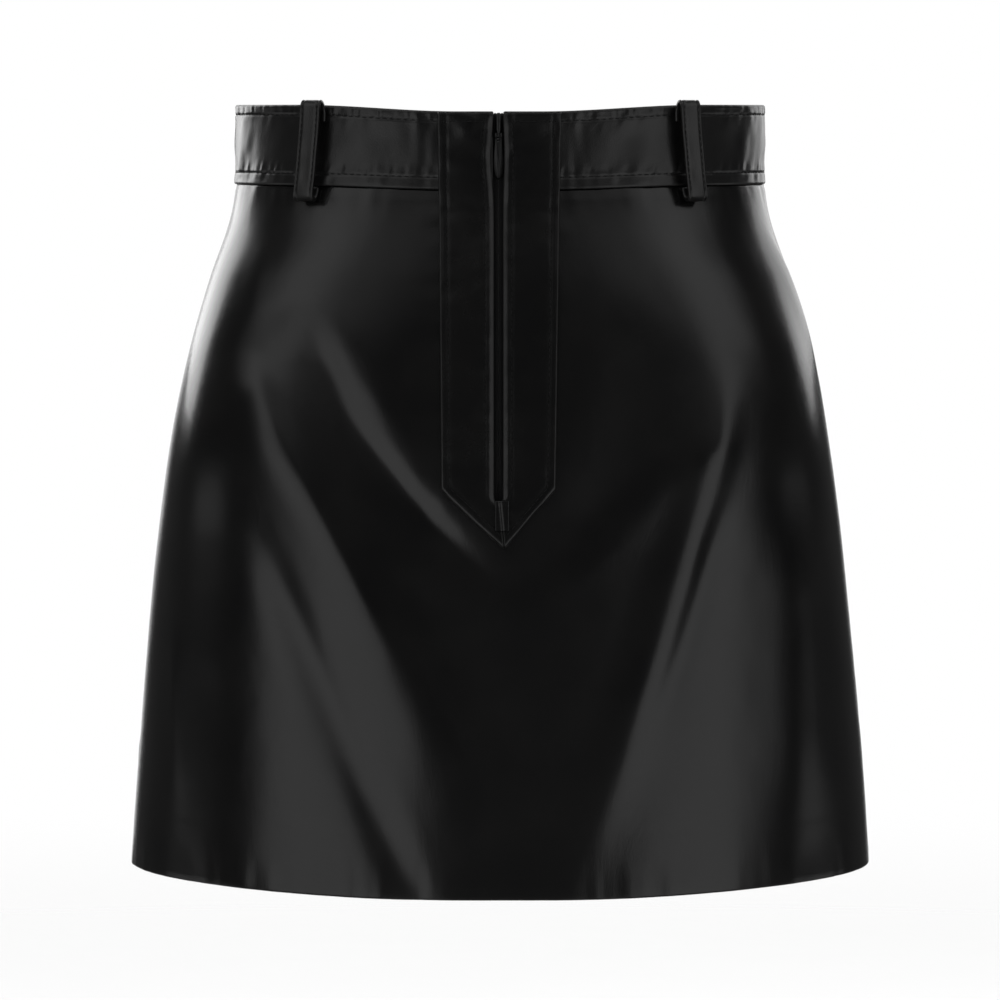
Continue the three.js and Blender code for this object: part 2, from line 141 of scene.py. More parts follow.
@dataclass(frozen=True)
class Fold:
    """A soft ridge or trough whose bearing runs from its top by its middle to its end.

    Bearings, width and spread are degrees, top, bottom and height metres. It swells over the
    share onset of its length and fades over the share release. A positive lean makes the side
    of larger bearings steeper.
    """

    bearing: float
    middle: float
    end: float
    top: float
    bottom: float
    width: float
    spread: float
    height: float
    onset: float = 0.35
    release: float = 0.5
    lean: float = 0.0

    def lift(self, bearing: Grid, z: Grid) -> Grid:
        """How far this fold lifts the surface at each bearing and height.

        Args:
            bearing: bearings in degrees.
            z: heights.

        Returns:
            The lift at each, in metres.
        """
        share = np.clip((self.top - z) / (self.top - self.bottom), 0.0, 1.0)
        bend = 4.0 * self.middle - 3.0 * self.bearing - self.end
        path = self.bearing + bend * share + (self.end - self.bearing - bend) * share**2
        offset = turned(bearing - path)
        width = (self.width + self.spread * share) * (1.0 - self.lean * np.sign(offset))
        fade = ease(0.0, self.onset, share) * ease(1.0, 1.0 - self.release, share)
        return self.height * fade * bump_of(offset, width)


def turned(bearing: Grid) -> Grid:
    """A bearing brought between -180 and 180 degrees."""
    return (np.asarray(bearing, dtype=float) + 540.0) % 360.0 - 180.0


SECTIONS = (
    Section(0.022, 0.1284, 0.0960, 0.0960, 2.15, 2.15),
    Section(0.000, 0.1285, 0.0966, 0.0970, 2.17, 2.17),
    Section(-0.019, 0.1289, 0.0980, 0.0990, 2.20, 2.20),
    Section(-0.037, 0.1323, 0.1010, 0.1030, 2.30, 2.25),
    Section(-0.063, 0.1414, 0.1060, 0.1110, 2.60, 2.35),
    Section(-0.100, 0.1517, 0.1115, 0.1210, 2.95, 2.50),
    Section(-0.139, 0.1600, 0.1160, 0.1280, 2.95, 2.55),
    Section(-0.188, 0.1671, 0.1200, 0.1315, 2.50, 2.45),
    Section(-0.247, 0.1732, 0.1245, 0.1330, 2.30, 2.30),
    Section(-0.306, 0.1784, 0.1290, 0.1340, 2.20, 2.20),
    Section(-0.351, 0.1816, 0.1320, 0.1345, 2.15, 2.15),
)

LARGE_FOLDS = (
    Fold(-55, -37, -20, -0.094, -0.250, 4.5, 0, 0.0016, 0.15, 0.5, 0.5),
    Fold(-57, -20, 12, -0.100, -0.400, 6.5, 5.5, 0.0034, 0.45, 0.5, 0.2),
    Fold(-45, -29, 2, -0.070, -0.215, 8.5, 0, -0.0034, 0.25, 0.35, 0.4),
    Fold(-52, -31.5, -7.5, -0.165, -0.400, 3.5, 1, -0.0014, 0.25, 0.3),
    Fold(48.5, 30.5, 4, -0.100, -0.400, 3.4, 3, 0.0026, 0.16, 0.5),
    Fold(35, 28, 10, -0.062, -0.230, 10, 0, -0.0022, 0.3, 0.4),
    Fold(48, 27, 2, -0.125, -0.235, 5, 2, 0.0010, 0.4, 0.4),
    Fold(0, 2, 5, -0.200, -0.440, 7, 6, -0.0014, 0.4, 0.3),
    Fold(-68, -66, -63, -0.190, -0.350, 4, 1, 0.0009, 0.4, 0.5),
    Fold(74, 79, 82, -0.030, -0.150, 4, 1, 0.0013, 0.4, 0.5),
    Fold(60.5, 60.5, 59, -0.160, -0.350, 6, 0, 0.0024, 0.3, 0.4),
    Fold(-126, -155, -188, -0.100, -0.400, 6.5, 6, 0.0034, 0.16, 0.5),
    Fold(128, 151, 176, -0.098, -0.400, 6, 5, 0.0032, 0.16, 0.5),
    Fold(-144, -158, -176, -0.095, -0.215, 5, 1.5, 0.0014, 0.35, 0.4),
    Fold(137, 154, 177, -0.120, -0.240, 5, 2, 0.0013, 0.35, 0.4),
    Fold(180, 180, 178, -0.210, -0.440, 8, 6, -0.0016, 0.4, 0.3),
    Fold(-104, -108, -112, -0.180, -0.420, 6, 3, 0.0016, 0.4, 0.4),
    Fold(106, 108, 109, -0.160, -0.420, 6, 3, 0.0015, 0.4, 0.4),
)

CREASES = (
    Fold(46.5, 39, 29, -0.160, -0.290, 2.2, 1, -0.0008, 0.3, 0.4),
    Fold(-36, -22, -8, -0.112, -0.192, 1.8, 0.8, 0.0004, 0.35, 0.5, -0.3),
    Fold(76, 80, 77, -0.040, -0.120, 1.6, 0.8, 0.0006),
    Fold(81, 84, 86, -0.060, -0.150, 1.3, 0.5, 0.0005),
    Fold(-68, -67, -65, -0.230, -0.320, 1.6, 0.6, 0.0004),
    Fold(-60, -57, -54, -0.036, -0.100, 2.4, 1.2, 0.0003),
    Fold(-120, -131, -150, -0.140, -0.260, 2.0, 1.0, 0.0006),
    Fold(118, 130, 152, -0.150, -0.270, 2.2, 1.0, -0.0006),
    Fold(-100, -98, -95, -0.060, -0.160, 2.0, 0.8, 0.0005),
    Fold(101, 99, 97, -0.080, -0.190, 2.2, 0.8, -0.0005),
)


@dataclass(frozen=True)
class SkirtForm:
    """The skirt's outer surface, a superellipse at each height with folds laid on it."""

    sections: Sequence[Section] = SECTIONS
    large_folds: Sequence[Fold] = LARGE_FOLDS
    creases: Sequence[Fold] = CREASES
    waist_top: float = 0.020
    waist_dip: float = 0.0032
    band_lower: float = -0.0185
    band_dip: float = 0.0018
    back_dip: float = 0.0064
    hem: float = -0.351
    hem_drop: float = 0.0037
    slit_x: float = -0.0007
    arc_radius: float = 0.150
    dip_turns: tuple[float, float] = (12.0, 55.0)
    hem_turns: tuple[float, float] = (15.0, 80.0)

    def column(self, name: str, z: Grid) -> Grid:
        """A smooth curve through one column of the sections.

        Args:
            name: a field of Section.
            z: heights.

        Returns:
            The column's value at each height.
        """
        levels = np.array([section.z for section in self.sections])
        values = np.array([getattr(section, name) for section in self.sections])
        slopes = np.empty_like(values)
        slopes[1:-1] = (values[2:] - values[:-2]) / (levels[2:] - levels[:-2])
        slopes[0] = (values[1] - values[0]) / (levels[1] - levels[0])
        slopes[-1] = (values[-1] - values[-2]) / (levels[-1] - levels[-2])
        level = np.clip(z, levels[-1], levels[0])
        row = np.clip(np.searchsorted(-levels, -level, side="right") - 1, 0, len(levels) - 2)
        step = levels[row + 1] - levels[row]
        t = (level - levels[row]) / step
        start = values[row] * (1 + 2 * t) * (1 - t) ** 2 + slopes[row] * step * t * (1 - t) ** 2
        end = values[row + 1] * t**2 * (3 - 2 * t) + slopes[row + 1] * step * t**2 * (t - 1)
        return start + end

    def point(self, bearing: Grid, z: Grid) -> Grid:
        """Points of the surface at bearings in degrees and heights.

        Args:
            bearing: bearings in degrees.
            z: heights.

        Returns:
            Points, with their coordinates along the last axis.
        """
        bearing, z = np.broadcast_arrays(np.asarray(bearing, float), np.asarray(z, float))
        angle = np.radians(bearing)
        front = np.cos(angle) >= 0
        depth = np.where(front, self.column("front_depth", z), self.column("back_depth", z))
        power = np.where(front, self.column("front_square", z), self.column("back_square", z))
        across = (np.abs(np.sin(angle)) / self.column("half_width", z)) ** power
        along = (np.abs(np.cos(angle)) / depth) ** power
        radius = (across + along) ** (-1.0 / power)
        for fold in self.large_folds:
            radius = radius + fold.lift(bearing, z)
        return np.stack([radius * np.sin(angle), -radius * np.cos(angle), z + 0 * radius], axis=-1)

    def normal(self, bearing: Grid, z: Grid) -> Grid:
        """Unit normals of the surface, out of the skirt.

        Args:
            bearing: bearings in degrees.
            z: heights.

        Returns:
            Unit vectors, along the last axis.
        """
        turn, rise = 0.4, 0.0008
        bearing, z = np.broadcast_arrays(np.asarray(bearing, float), np.asarray(z, float))
        sideways = self.point(bearing + turn, z) - self.point(bearing - turn, z)
        upwards = self.point(bearing, z + rise) - self.point(bearing, z - rise)
        outwards = np.cross(sideways, upwards)
        return outwards / np.linalg.norm(outwards, axis=-1, keepdims=True)

    def off(self, bearing: Grid, z: Grid, out: Grid) -> Grid:
        """Points moved straight out of the surface, or in with a negative distance."""
        return self.point(bearing, z) + self.normal(bearing, z) * np.asarray(out)[..., None]

    def bearing_of_x(self, x: Grid, z: Grid) -> Grid:
        """The bearing where the front surface has a given X.

        Args:
            x: places across the front.
            z: heights.

        Returns:
            Bearings in degrees.
        """
        x, z = np.broadcast_arrays(np.asarray(x, float), np.asarray(z, float))
        bearing = np.zeros_like(x)
        for _ in range(8):
            bearing = np.degrees(np.arctan2(x, -self.point(bearing, z)[..., 1]))
        return bearing

    def side_bearing(self, side: Side, z: Grid, gap: float) -> Grid:
        """A side seam's bearing, half a gap short of the side."""
        return side.value * (90.0 - np.degrees(gap / 2.0 / self.column("half_width", z)))

    def dip_share(self, bearing: Grid) -> Grid:
        """How much of the waist's dip a bearing has, full at the centre front and back."""
        from_side = 90.0 - np.abs(90.0 - np.abs(turned(bearing)))
        return 1.0 - ease(*self.dip_turns, from_side)

    def dip(self, bearing: Grid, front: float) -> Grid:
        """How far an edge of the waistband dips at a bearing."""
        at_front = np.abs(turned(bearing)) < 90.0
        return np.where(at_front, front, self.back_dip) * self.dip_share(bearing)

    def top_edge(self, bearing: Grid) -> Grid:
        """Height of the waistband's top edge."""
        return self.waist_top - self.dip(bearing, self.waist_dip)

    def lower_edge(self, bearing: Grid) -> Grid:
        """Height of the waistband's lower edge."""
        return self.band_lower - self.dip(bearing, self.band_dip)

    def hem_edge(self, bearing: Grid) -> Grid:
        """Height of the hem, which drops a little at the front."""
        return self.hem - self.hem_drop * (1.0 - ease(*self.hem_turns, np.abs(turned(bearing))))

    def crease_lift(self, bearing: Grid, z: Grid) -> Grid:
        """Small creases and the soft unevenness of worn leather.

        Args:
            bearing: bearings in degrees.
            z: heights.

        Returns:
            How far the leather lies off the skirt's form.
        """
        lift = np.zeros(np.broadcast(bearing, z).shape)
        for crease in self.creases:
            lift = lift + crease.lift(bearing, z)
        arc = np.radians(bearing) * self.arc_radius
        slow = lattice_noise(arc / 0.046, z / 0.075, 3) * 0.30 * MM
        quick = lattice_noise(arc / 0.019, z / 0.030, 5) * 0.11 * MM
        fine = lattice_noise(arc / 0.0085, z / 0.013, 7) * 0.035 * MM
        return lift + slow + quick + fine


FORM = SkirtForm()


def make_object(name: str, points: Grid, faces: Sequence, wear: Grid | None = None) -> bpy.types.Object:
    """A smooth mesh object.

    Args:
        name: the piece's name.
        points: its points, one a row.
        faces: its faces, each a sequence of point numbers.
        wear: how worn each point is, from 0 to 1.

    Returns:
        The new object, linked to the scene.
    """
    mesh = bpy.data.meshes.new(name)
    mesh.from_pydata(points.tolist(), [], [list(map(int, face)) for face in faces])
    mesh.validate()
    mesh.shade_smooth()
    values = np.zeros(len(points)) if wear is None else np.asarray(wear, float).reshape(-1)
    attribute = mesh.attributes.new("wear", "FLOAT", "POINT")
    attribute.data.foreach_set("value", values.astype(np.float32))
    piece = bpy.data.objects.new(name, mesh)
    bpy.context.scene.collection.objects.link(piece)
    return piece


def grid_cells(rows: int, columns: int) -> Grid:
    """The quads of a grid of points.

    Args:
        rows: cells down the grid.
        columns: cells across it.

    Returns:
        An array of rows by columns by 4 point numbers, facing out where columns run to the
        right and rows run down.
    """
    corner = np.arange((rows + 1) * (columns + 1)).reshape(rows + 1, columns + 1)
    parts = [corner[:-1, :-1], corner[1:, :-1], corner[1:, 1:], corner[:-1, 1:]]
    return np.stack(parts, axis=-1)


def shell(
    name: str, outer: Grid, inner: Grid, keep: Grid | None = None, wear: Grid | None = None
) -> bpy.types.Object:
    """A closed thin wall between two grids of points, over the cells that are kept.

    Args:
        name: the piece's name.
        outer: rows by columns by 3 points of the outer side.
        inner: the same of the inner side.
        keep: which cells are there, all of them by default.
        wear: how worn each outer point is.

    Returns:
        The new object.
    """
    rows, columns = outer.shape[0] - 1, outer.shape[1] - 1
    keep = np.ones((rows, columns), bool) if keep is None else keep
    count = (rows + 1) * (columns + 1)
    cells = grid_cells(rows, columns)
    faces = list(cells[keep]) + list(cells[keep][:, ::-1] + count)
    padded = np.pad(keep, 1)
    rims = (
        (padded[1:-1, :-2], (0, 1)),
        (padded[2:, 1:-1], (1, 2)),
        (padded[1:-1, 2:], (2, 3)),
        (padded[:-2, 1:-1], (3, 0)),
    )
    for neighbour, (start, end) in rims:
        edge_cells = cells[keep & ~neighbour]
        first, second = edge_cells[:, start], edge_cells[:, end]
        faces += list(np.stack([second, first, first + count, second + count], axis=-1))
    points = np.concatenate([outer.reshape(-1, 3), inner.reshape(-1, 3)])
    wear = np.zeros(count) if wear is None else np.asarray(wear).reshape(-1)
    used = np.zeros(len(points), bool)
    used[np.concatenate([np.ravel(face) for face in faces])] = True
    number = np.cumsum(used) - 1
    faces = [number[face] for face in faces]
    return make_object(name, points[used], faces, np.concatenate([wear, wear])[used])


def loft(name: str, loops: Grid, wear: Grid | None = None, closed: bool = False) -> bpy.types.Object:
    """A solid through closed loops of points, capped at both ends unless it closes on itself.

    Args:
        name: the piece's name.
        loops: loops by points by 3, each loop against the clock seen from the last loop.
        wear: how worn each point is.
        closed: whether the last loop joins the first.

    Returns:
        The new object.
    """
    points, faces = loft_faces(loops, closed)
    return make_object(name, points, faces, wear)


def loft_faces(loops: Grid, closed: bool = False) -> tuple[Grid, list]:
    """Points and faces of a solid through closed loops of points.

    Args:
        loops: loops by points by 3.
        closed: whether the last loop joins the first.

    Returns:
        The points, one a row, and the faces.
    """
    count, size = loops.shape[:2]
    number = np.arange(count * size).reshape(count, size)
    after = np.roll(number, -1, axis=1)
    following = np.roll(number, -1, axis=0)
    following_after = np.roll(after, -1, axis=0)
    quads = np.stack([number, after, following_after, following], axis=-1)
    quads = quads if closed else quads[:-1]
    faces = list(quads.reshape(-1, 4))
    if not closed:
        faces += [number[0][::-1], number[-1]]
    return loops.reshape(-1, 3), faces


def joined(parts: Sequence[tuple[Grid, list]]) -> tuple[Grid, list]:
    """Several meshes' points and faces as one.

    Args:
        parts: each mesh's points and faces.

    Returns:
        All the points and all the faces.
    """
    points, faces, count = [], [], 0
    for part_points, part_faces in parts:
        points.append(part_points)
        faces += [np.asarray(face) + count for face in part_faces]
        count += len(part_points)
    return np.concatenate(points), faces


def smooth_path(table: Sequence[Sequence[float]], count: int) -> Grid:
    """A smooth curve through a short table of points, spaced evenly along its length.

    Args:
        table: the points it goes through.
        count: how many points to return.

    Returns:
        count points on the curve.
    """
    knots = np.asarray(table, float)
    fine = []
    for start in range(len(knots) - 1):
        before, after = knots[max(0, start - 1)], knots[min(len(knots) - 1, start + 2)]
        here, there = knots[start], knots[start + 1]
        leave, arrive = (there - before) / 2, (after - here) / 2
        t = np.linspace(0, 1, 24, endpoint=False)[:, None]
        fine.append(
            here * (1 + 2 * t) * (1 - t) ** 2
            + there * t**2 * (3 - 2 * t)
            + leave * t * (1 - t) ** 2
            + arrive * t**2 * (t - 1)
        )
    curve = np.concatenate([*fine, knots[-1:]])
    return spaced(curve, count)


def spaced(curve: Grid, count: int) -> Grid:
    """Points evenly spaced along a polyline.

    Args:
        curve: its points, one a row.
        count: how many points to return.

    Returns:
        count points, both ends of the polyline among them.
    """
    steps = np.linalg.norm(np.diff(curve, axis=0), axis=1)
    walked = np.concatenate([[0.0], np.cumsum(steps)])
    marks = np.linspace(0.0, walked[-1], count)
    columns = [np.interp(marks, walked, column) for column in curve.T]
    return np.stack(columns, axis=-1)


def around(aside: Grid, up: Grid, sides: int) -> Grid:
    """Unit directions all round a line.

    Args:
        aside: the line's sideways direction at each of its points.
        up: its upward direction there.
        sides: how many directions.

    Returns:
        Points by sides by 3 directions.
    """
    angles = np.linspace(0.0, 2.0 * np.pi, sides, endpoint=False)
    return aside[:, None] * np.cos(angles)[None, :, None] + up[:, None] * np.sin(angles)[None, :, None]


class Value:
    """A shader socket that can be written in formulas, each operator adding a Math node."""

    def __init__(self, shader: "Shader", output: bpy.types.NodeSocket) -> None:
        """Wraps one output of a shader's node."""
        self.shader = shader
        self.output = output

    def math(self, operation: str, *values: "Value | float") -> "Value":
        """A Math node on this value.

        Args:
            operation: the node's operation.
            values: its further inputs, in order.

        Returns:
            The node's result.
        """
        inputs = dict(enumerate((self, *values)))
        made = self.shader.node("ShaderNodeMath", {"operation": operation}, inputs)
        return Value(self.shader, made.outputs[0])

    def swapped(self, operation: str, first: float) -> "Value":
        """A Math node with a number before this value."""
        made = self.shader.node("ShaderNodeMath", {"operation": operation}, {0: first, 1: self})
        return Value(self.shader, made.outputs[0])

    def __add__(self, other: "Value | float") -> "Value":
        """Sum."""
        return self.math("ADD", other)

    def __radd__(self, other: float) -> "Value":
        """Sum with a number first."""
        return self.swapped("ADD", other)

    def __sub__(self, other: "Value | float") -> "Value":
        """Difference."""
        return self.math("SUBTRACT", other)

    def __rsub__(self, other: float) -> "Value":
        """Difference from a number."""
        return self.swapped("SUBTRACT", other)

    def __mul__(self, other: "Value | float") -> "Value":
        """Product."""
        return self.math("MULTIPLY", other)

    def __rmul__(self, other: float) -> "Value":
        """Product with a number first."""
        return self.swapped("MULTIPLY", other)

    def step(self, low: float, high: float) -> "Value":
        """A smooth step from 0 at low to 1 at high.

        Args:
            low: where it starts.
            high: where it ends, which may be below low.

        Returns:
            The step of this value.
        """
        inputs = {"Value": self, "From Min": low, "From Max": high, "To Min": 0.0, "To Max": 1.0}
        settings = {"interpolation_type": "SMOOTHSTEP"}
        made = self.shader.node("ShaderNodeMapRange", settings, inputs)
        return Value(self.shader, made.outputs["Result"])


class Shader:
    """A node tree that is written node by node."""

    def __init__(self, tree: bpy.types.NodeTree) -> None:
        """Empties the tree and starts it afresh."""
        self.tree = tree
        tree.nodes.clear()

    def node(
        self, kind: str, settings: dict | None = None, inputs: dict | None = None
    ) -> bpy.types.Node:
        """Adds a node.

        Args:
            kind: the node's type.
            settings: its settings, set first.
            inputs: the value, or the link, of each socket by name or number.

        Returns:
            The new node.
        """
        made = self.tree.nodes.new(kind)
        for name, setting in (settings or {}).items():
            setattr(made, name, setting)
        for name, value in (inputs or {}).items():
            socket = made.inputs[name]
            if isinstance(value, Value):
                self.tree.links.new(value.output, socket)
            elif isinstance(value, bpy.types.NodeSocket):
                self.tree.links.new(value, socket)
            else:
                socket.default_value = value
        return made

    def value(
        self, kind: str, output: str | int, settings: dict | None = None, inputs: dict | None = None
    ) -> Value:
        """Adds a node and returns one of its outputs."""
        return Value(self, self.node(kind, settings, inputs).outputs[output])

    def place(self) -> bpy.types.NodeSocket:
        """The point's place in the object, in metres."""
        return self.node("ShaderNodeTexCoord").outputs["Object"]

    def noise(self, place: bpy.types.NodeSocket, scale: float, detail: float = 2.0) -> Value:
        """Noise over a place, from 0 to 1."""
        inputs = {"Vector": place, "Scale": scale, "Detail": detail, "Roughness": 0.55}
        return self.value("ShaderNodeTexNoise", "Fac", None, inputs)

    def blend(
        self, factor: Value, first: "tuple | bpy.types.NodeSocket", second: "tuple | bpy.types.NodeSocket"
    ) -> bpy.types.NodeSocket:
        """A colour between two others.

        Args:
            factor: how much of the second there is.
            first: three numbers or a link.
            second: three numbers or a link.

        Returns:
            The mixed colour.
        """
        settings = {"data_type": "RGBA", "clamp_factor": True}
        ends = [(*end, 1.0) if isinstance(end, tuple) else end for end in (first, second)]
        return self.node("ShaderNodeMix", settings, {0: factor, 6: ends[0], 7: ends[1]}).outputs[2]


@dataclass(frozen=True)
class Finish:
    """What every finish has: a name, two colours that it varies between and its gloss."""

    name: str
    dark: tuple[float, float, float]
    light: tuple[float, float, float]
    roughness: float

    def material(self) -> bpy.types.Material:
        """The finish's material, made once.

        Returns:
            The material.
        """
        found = bpy.data.materials.get(self.name)
        if found:
            return found
        made = bpy.data.materials.new(self.name)
        made.use_nodes = True
        shader = Shader(made.node_tree)
        surface = shader.node("ShaderNodeBsdfPrincipled")
        shader.node("ShaderNodeOutputMaterial", None, {"Surface": surface.outputs["BSDF"]})
        self.dress(shader, surface)
        return made

    def dress(self, shader: Shader, surface: bpy.types.Node) -> None:
        """Links the finish's own nodes into the surface."""
        raise NotImplementedError

    def link(self, shader: Shader, surface: bpy.types.Node, **sockets: object) -> None:
        """Links or sets sockets of the surface, with spaces for underscores in their names.

        Args:
            shader: the material's node tree.
            surface: its main shader.
            sockets: the value or the link of each socket.
        """
        for name, value in sockets.items():
            socket = surface.inputs[name.replace("_", " ")]
            if isinstance(value, Value):
                shader.tree.links.new(value.output, socket)
            elif isinstance(value, bpy.types.NodeSocket):
                shader.tree.links.new(value, socket)
            else:
                socket.default_value = value


@dataclass(frozen=True)
class LeatherFinish(Finish):
    """Smooth black leather with a dressed surface and a fine grain."""

    grain_scale: float = 1500.0
    grain_depth: float = 0.00006
    ior: float = 1.48
    coat: float = 0.25
    coat_roughness: float = 0.11
    wear_colour: tuple[float, float, float] = (0.0090, 0.0088, 0.0086)

    def dress(self, shader: Shader, surface: bpy.types.Node) -> None:
        """Grain, soft mottling and worn edges.

        Args:
            shader: the material's node tree.
            surface: its main shader.
        """
        place = shader.place()
        settings = {"feature": "SMOOTH_F1"}
        inputs = {"Vector": place, "Scale": self.grain_scale, "Smoothness": 0.6}
        cells = shader.value("ShaderNodeTexVoronoi", "Distance", settings, inputs)
        pores = shader.noise(place, self.grain_scale * 1.9, 1.0)
        patches = shader.noise(place, 26.0, 3.0)
        streaks = shader.noise(place, 240.0, 4.0)
        wear = shader.value("ShaderNodeAttribute", "Fac", {"attribute_name": "wear"})
        worn = (wear * (0.55 + streaks * 0.9)).step(0.25, 0.95)
        colour = shader.blend(patches.step(0.3, 0.7), self.dark, self.light)
        rubbed = shader.blend(worn, colour, self.wear_colour)
        height = cells * 0.75 + pores * 0.35 + streaks * 0.8
        bump = {"Height": height, "Distance": self.grain_depth, "Strength": 1.0}
        roughness = self.roughness + (patches - 0.5) * 0.06 + (streaks - 0.5) * 0.06 + worn * 0.08
        self.link(
            shader,
            surface,
            Base_Color=rubbed,
            Roughness=roughness,
            Normal=shader.node("ShaderNodeBump", None, bump).outputs["Normal"],
            IOR=self.ior,
            Coat_Weight=self.coat,
            Coat_Roughness=self.coat_roughness,
        )


@dataclass(frozen=True)
class WovenFinish(Finish):
    """Woven zip tape: ribs along and across, with a soft nap."""

    pitch: float = 0.00055

    def dress(self, shader: Shader, surface: bpy.types.Node) -> None:
        """A herringbone of threads from two slanting waves.

        Args:
            shader: the material's node tree.
            surface: its main shader.
        """
        place = shader.place()
        parts = shader.node("ShaderNodeSeparateXYZ", None, {"Vector": place})
        x, z = Value(shader, parts.outputs["X"]), Value(shader, parts.outputs["Z"])
        turn = 2.0 * math.pi / self.pitch
        rib = (x * turn).math("SINE") * 0.5 + 0.5
        pick = (z * (turn * 0.8) + (x * (turn * 0.25)).math("SINE") * 1.5).math("SINE") * 0.5 + 0.5
        fuzz = shader.noise(place, 2400.0, 2.0)
        height = rib * 0.5 + pick * 0.5 + fuzz * 0.4
        # The colour follows the relief: raised threads are painted lighter and the grooves between them
        # darker, as painted shade.
        colour = shader.blend(height, self.dark, self.light)
        bump = {"Height": height, "Distance": 0.00015, "Strength": 0.8}
        self.link(
            shader,
            surface,
            Base_Color=colour,
            Roughness=self.roughness + fuzz * 0.1,
            Normal=shader.node("ShaderNodeBump", None, bump).outputs["Normal"],
            Sheen_Weight=0.06,
            Sheen_Roughness=0.5,
        )


@dataclass(frozen=True)
class ThreadFinish(Finish):
    """Twisted sewing thread."""

    def dress(self, shader: Shader, surface: bpy.types.Node) -> None:
        """Fine plies along the thread and a little dust.

        Args:
            shader: the material's node tree.
            surface: its main shader.
        """
        place = shader.place()
        plies = shader.noise(place, 3800.0, 1.0)
        dust = shader.noise(place, 300.0, 2.0)
        colour = shader.blend(dust, self.dark, self.light)
        bump = {"Height": plies, "Distance": 0.00008, "Strength": 0.8}
        self.link(
            shader,
            surface,
            Base_Color=colour,
            Roughness=self.roughness + plies * 0.12,
            Normal=shader.node("ShaderNodeBump", None, bump).outputs["Normal"],
        )


@dataclass(frozen=True)
class HardFinish(Finish):
    """Black lacquer on metal, or moulded nylon, with faint handling marks."""

    metallic: float = 0.0
    mark_depth: float = 0.00002

    def dress(self, shader: Shader, surface: bpy.types.Node) -> None:
        """Handling marks in gloss and relief.

        Args:
            shader: the material's node tree.
            surface: its main shader.
        """
        place = shader.place()
        marks = shader.noise(place, 900.0, 4.0)
        clouds = shader.noise(place, 180.0, 2.0)
        colour = shader.blend(clouds, self.dark, self.light)
        bump = {"Height": marks, "Distance": self.mark_depth, "Strength": 0.7}
        self.link(
            shader,
            surface,
            Base_Color=colour,
            Metallic=self.metallic,
            Roughness=self.roughness + (marks - 0.5) * 0.16,
            Normal=shader.node("ShaderNodeBump", None, bump).outputs["Normal"],
        )


LEATHER = LeatherFinish(
    "dressed_leather", (0.0022, 0.0022, 0.0023), (0.0042, 0.0041, 0.0040), 0.20
)
BAND_LEATHER = LeatherFinish(
    "band_leather", (0.0022, 0.0022, 0.0023), (0.0044, 0.0043, 0.0042), 0.32, coat_roughness=0.22
)
# The strip's copy of the leather is painted a little darker than the panels' leather, as painted shade; it is
# the same leather, rougher and with a thinner coat.
SHADED_STRIP_LEATHER = LeatherFinish(
    "strip_leather_painted_darker",
    (0.0018, 0.0018, 0.0019),
    (0.0034, 0.0033, 0.0032),
    0.26,
    ior=1.45,
    coat=0.15,
    coat_roughness=0.2,
)
# The loops' copy of the leather is painted nearly twice as light as the panels' leather, as a painted
# highlight; it is the same leather, rougher.
LIT_LOOP_LEATHER = LeatherFinish(
    "loop_leather_painted_lighter",
    (0.0040, 0.0040, 0.0041),
    (0.0075, 0.0073, 0.0070),
    0.32,
    coat=0.30,
    coat_roughness=0.24,
)
# The tape's two colours are the painted shade of its grooves and the painted highlight of its raised threads.
TAPE = WovenFinish("zip_tape_weave", (0.0016, 0.0016, 0.0018), (0.0060, 0.0060, 0.0064), 0.90)
THREAD = ThreadFinish("black_thread", (0.0025, 0.0025, 0.0027), (0.0055, 0.0055, 0.0055), 0.70)
COIL_NYLON = HardFinish("coil_nylon", (0.010, 0.010, 0.011), (0.020, 0.020, 0.021), 0.42)
LACQUER = HardFinish(
    "black_lacquer", (0.0045, 0.0045, 0.0048), (0.0100, 0.0100, 0.0100), 0.34, metallic=0.05
)


@dataclass(frozen=True)
class Thread:
    """A run of stitches: its thread and how far apart the needle goes in."""

    radius: float = 0.00023
    length: float = 0.0026
    gap: float = 0.0008
    rings: int = 5
    sides: int = 6

    def run(self, path: Grid, normals: Grid) -> list[tuple[Grid, list]]:
        """Stitches along a path on the leather.

        Args:
            path: points of the seam.
            normals: the leather's unit normals there.

        Returns:
            Points and faces of each stitch.
        """
        steps = np.linalg.norm(np.diff(path, axis=0), axis=1)
        walked = np.concatenate([[0.0], np.cumsum(steps)])
        count = max(1, int(walked[-1] / (self.length + self.gap)))
        pitch = walked[-1] / count
        shares = np.linspace(0.0, 1.0, self.rings)
        height = self.radius * (1.15 * np.sin(np.pi * shares) - 0.35)
        thick = self.radius * (0.62 + 0.38 * np.sin(np.pi * shares))
        made = []
        for stitch in range(count):
            marks = stitch * pitch + self.gap / 2 + shares * (pitch - self.gap)
            line = np.stack([np.interp(marks, walked, path[:, axis]) for axis in range(3)], axis=-1)
            up = np.stack([np.interp(marks, walked, normals[:, axis]) for axis in range(3)], axis=-1)
            up = up / np.linalg.norm(up, axis=1, keepdims=True)
            along = (line[-1] - line[0]) / max(np.linalg.norm(line[-1] - line[0]), 1e-9)
            aside = np.cross(up, along)
            centre = line + up * height[:, None]
            ring = around(aside, up, self.sides)
            made.append(loft_faces(centre[:, None] + ring * thick[:, None, None]))
        return made


TOPSTITCH = Thread()
FINE_STITCH = Thread(radius=0.00018, length=0.0022, gap=0.0007)


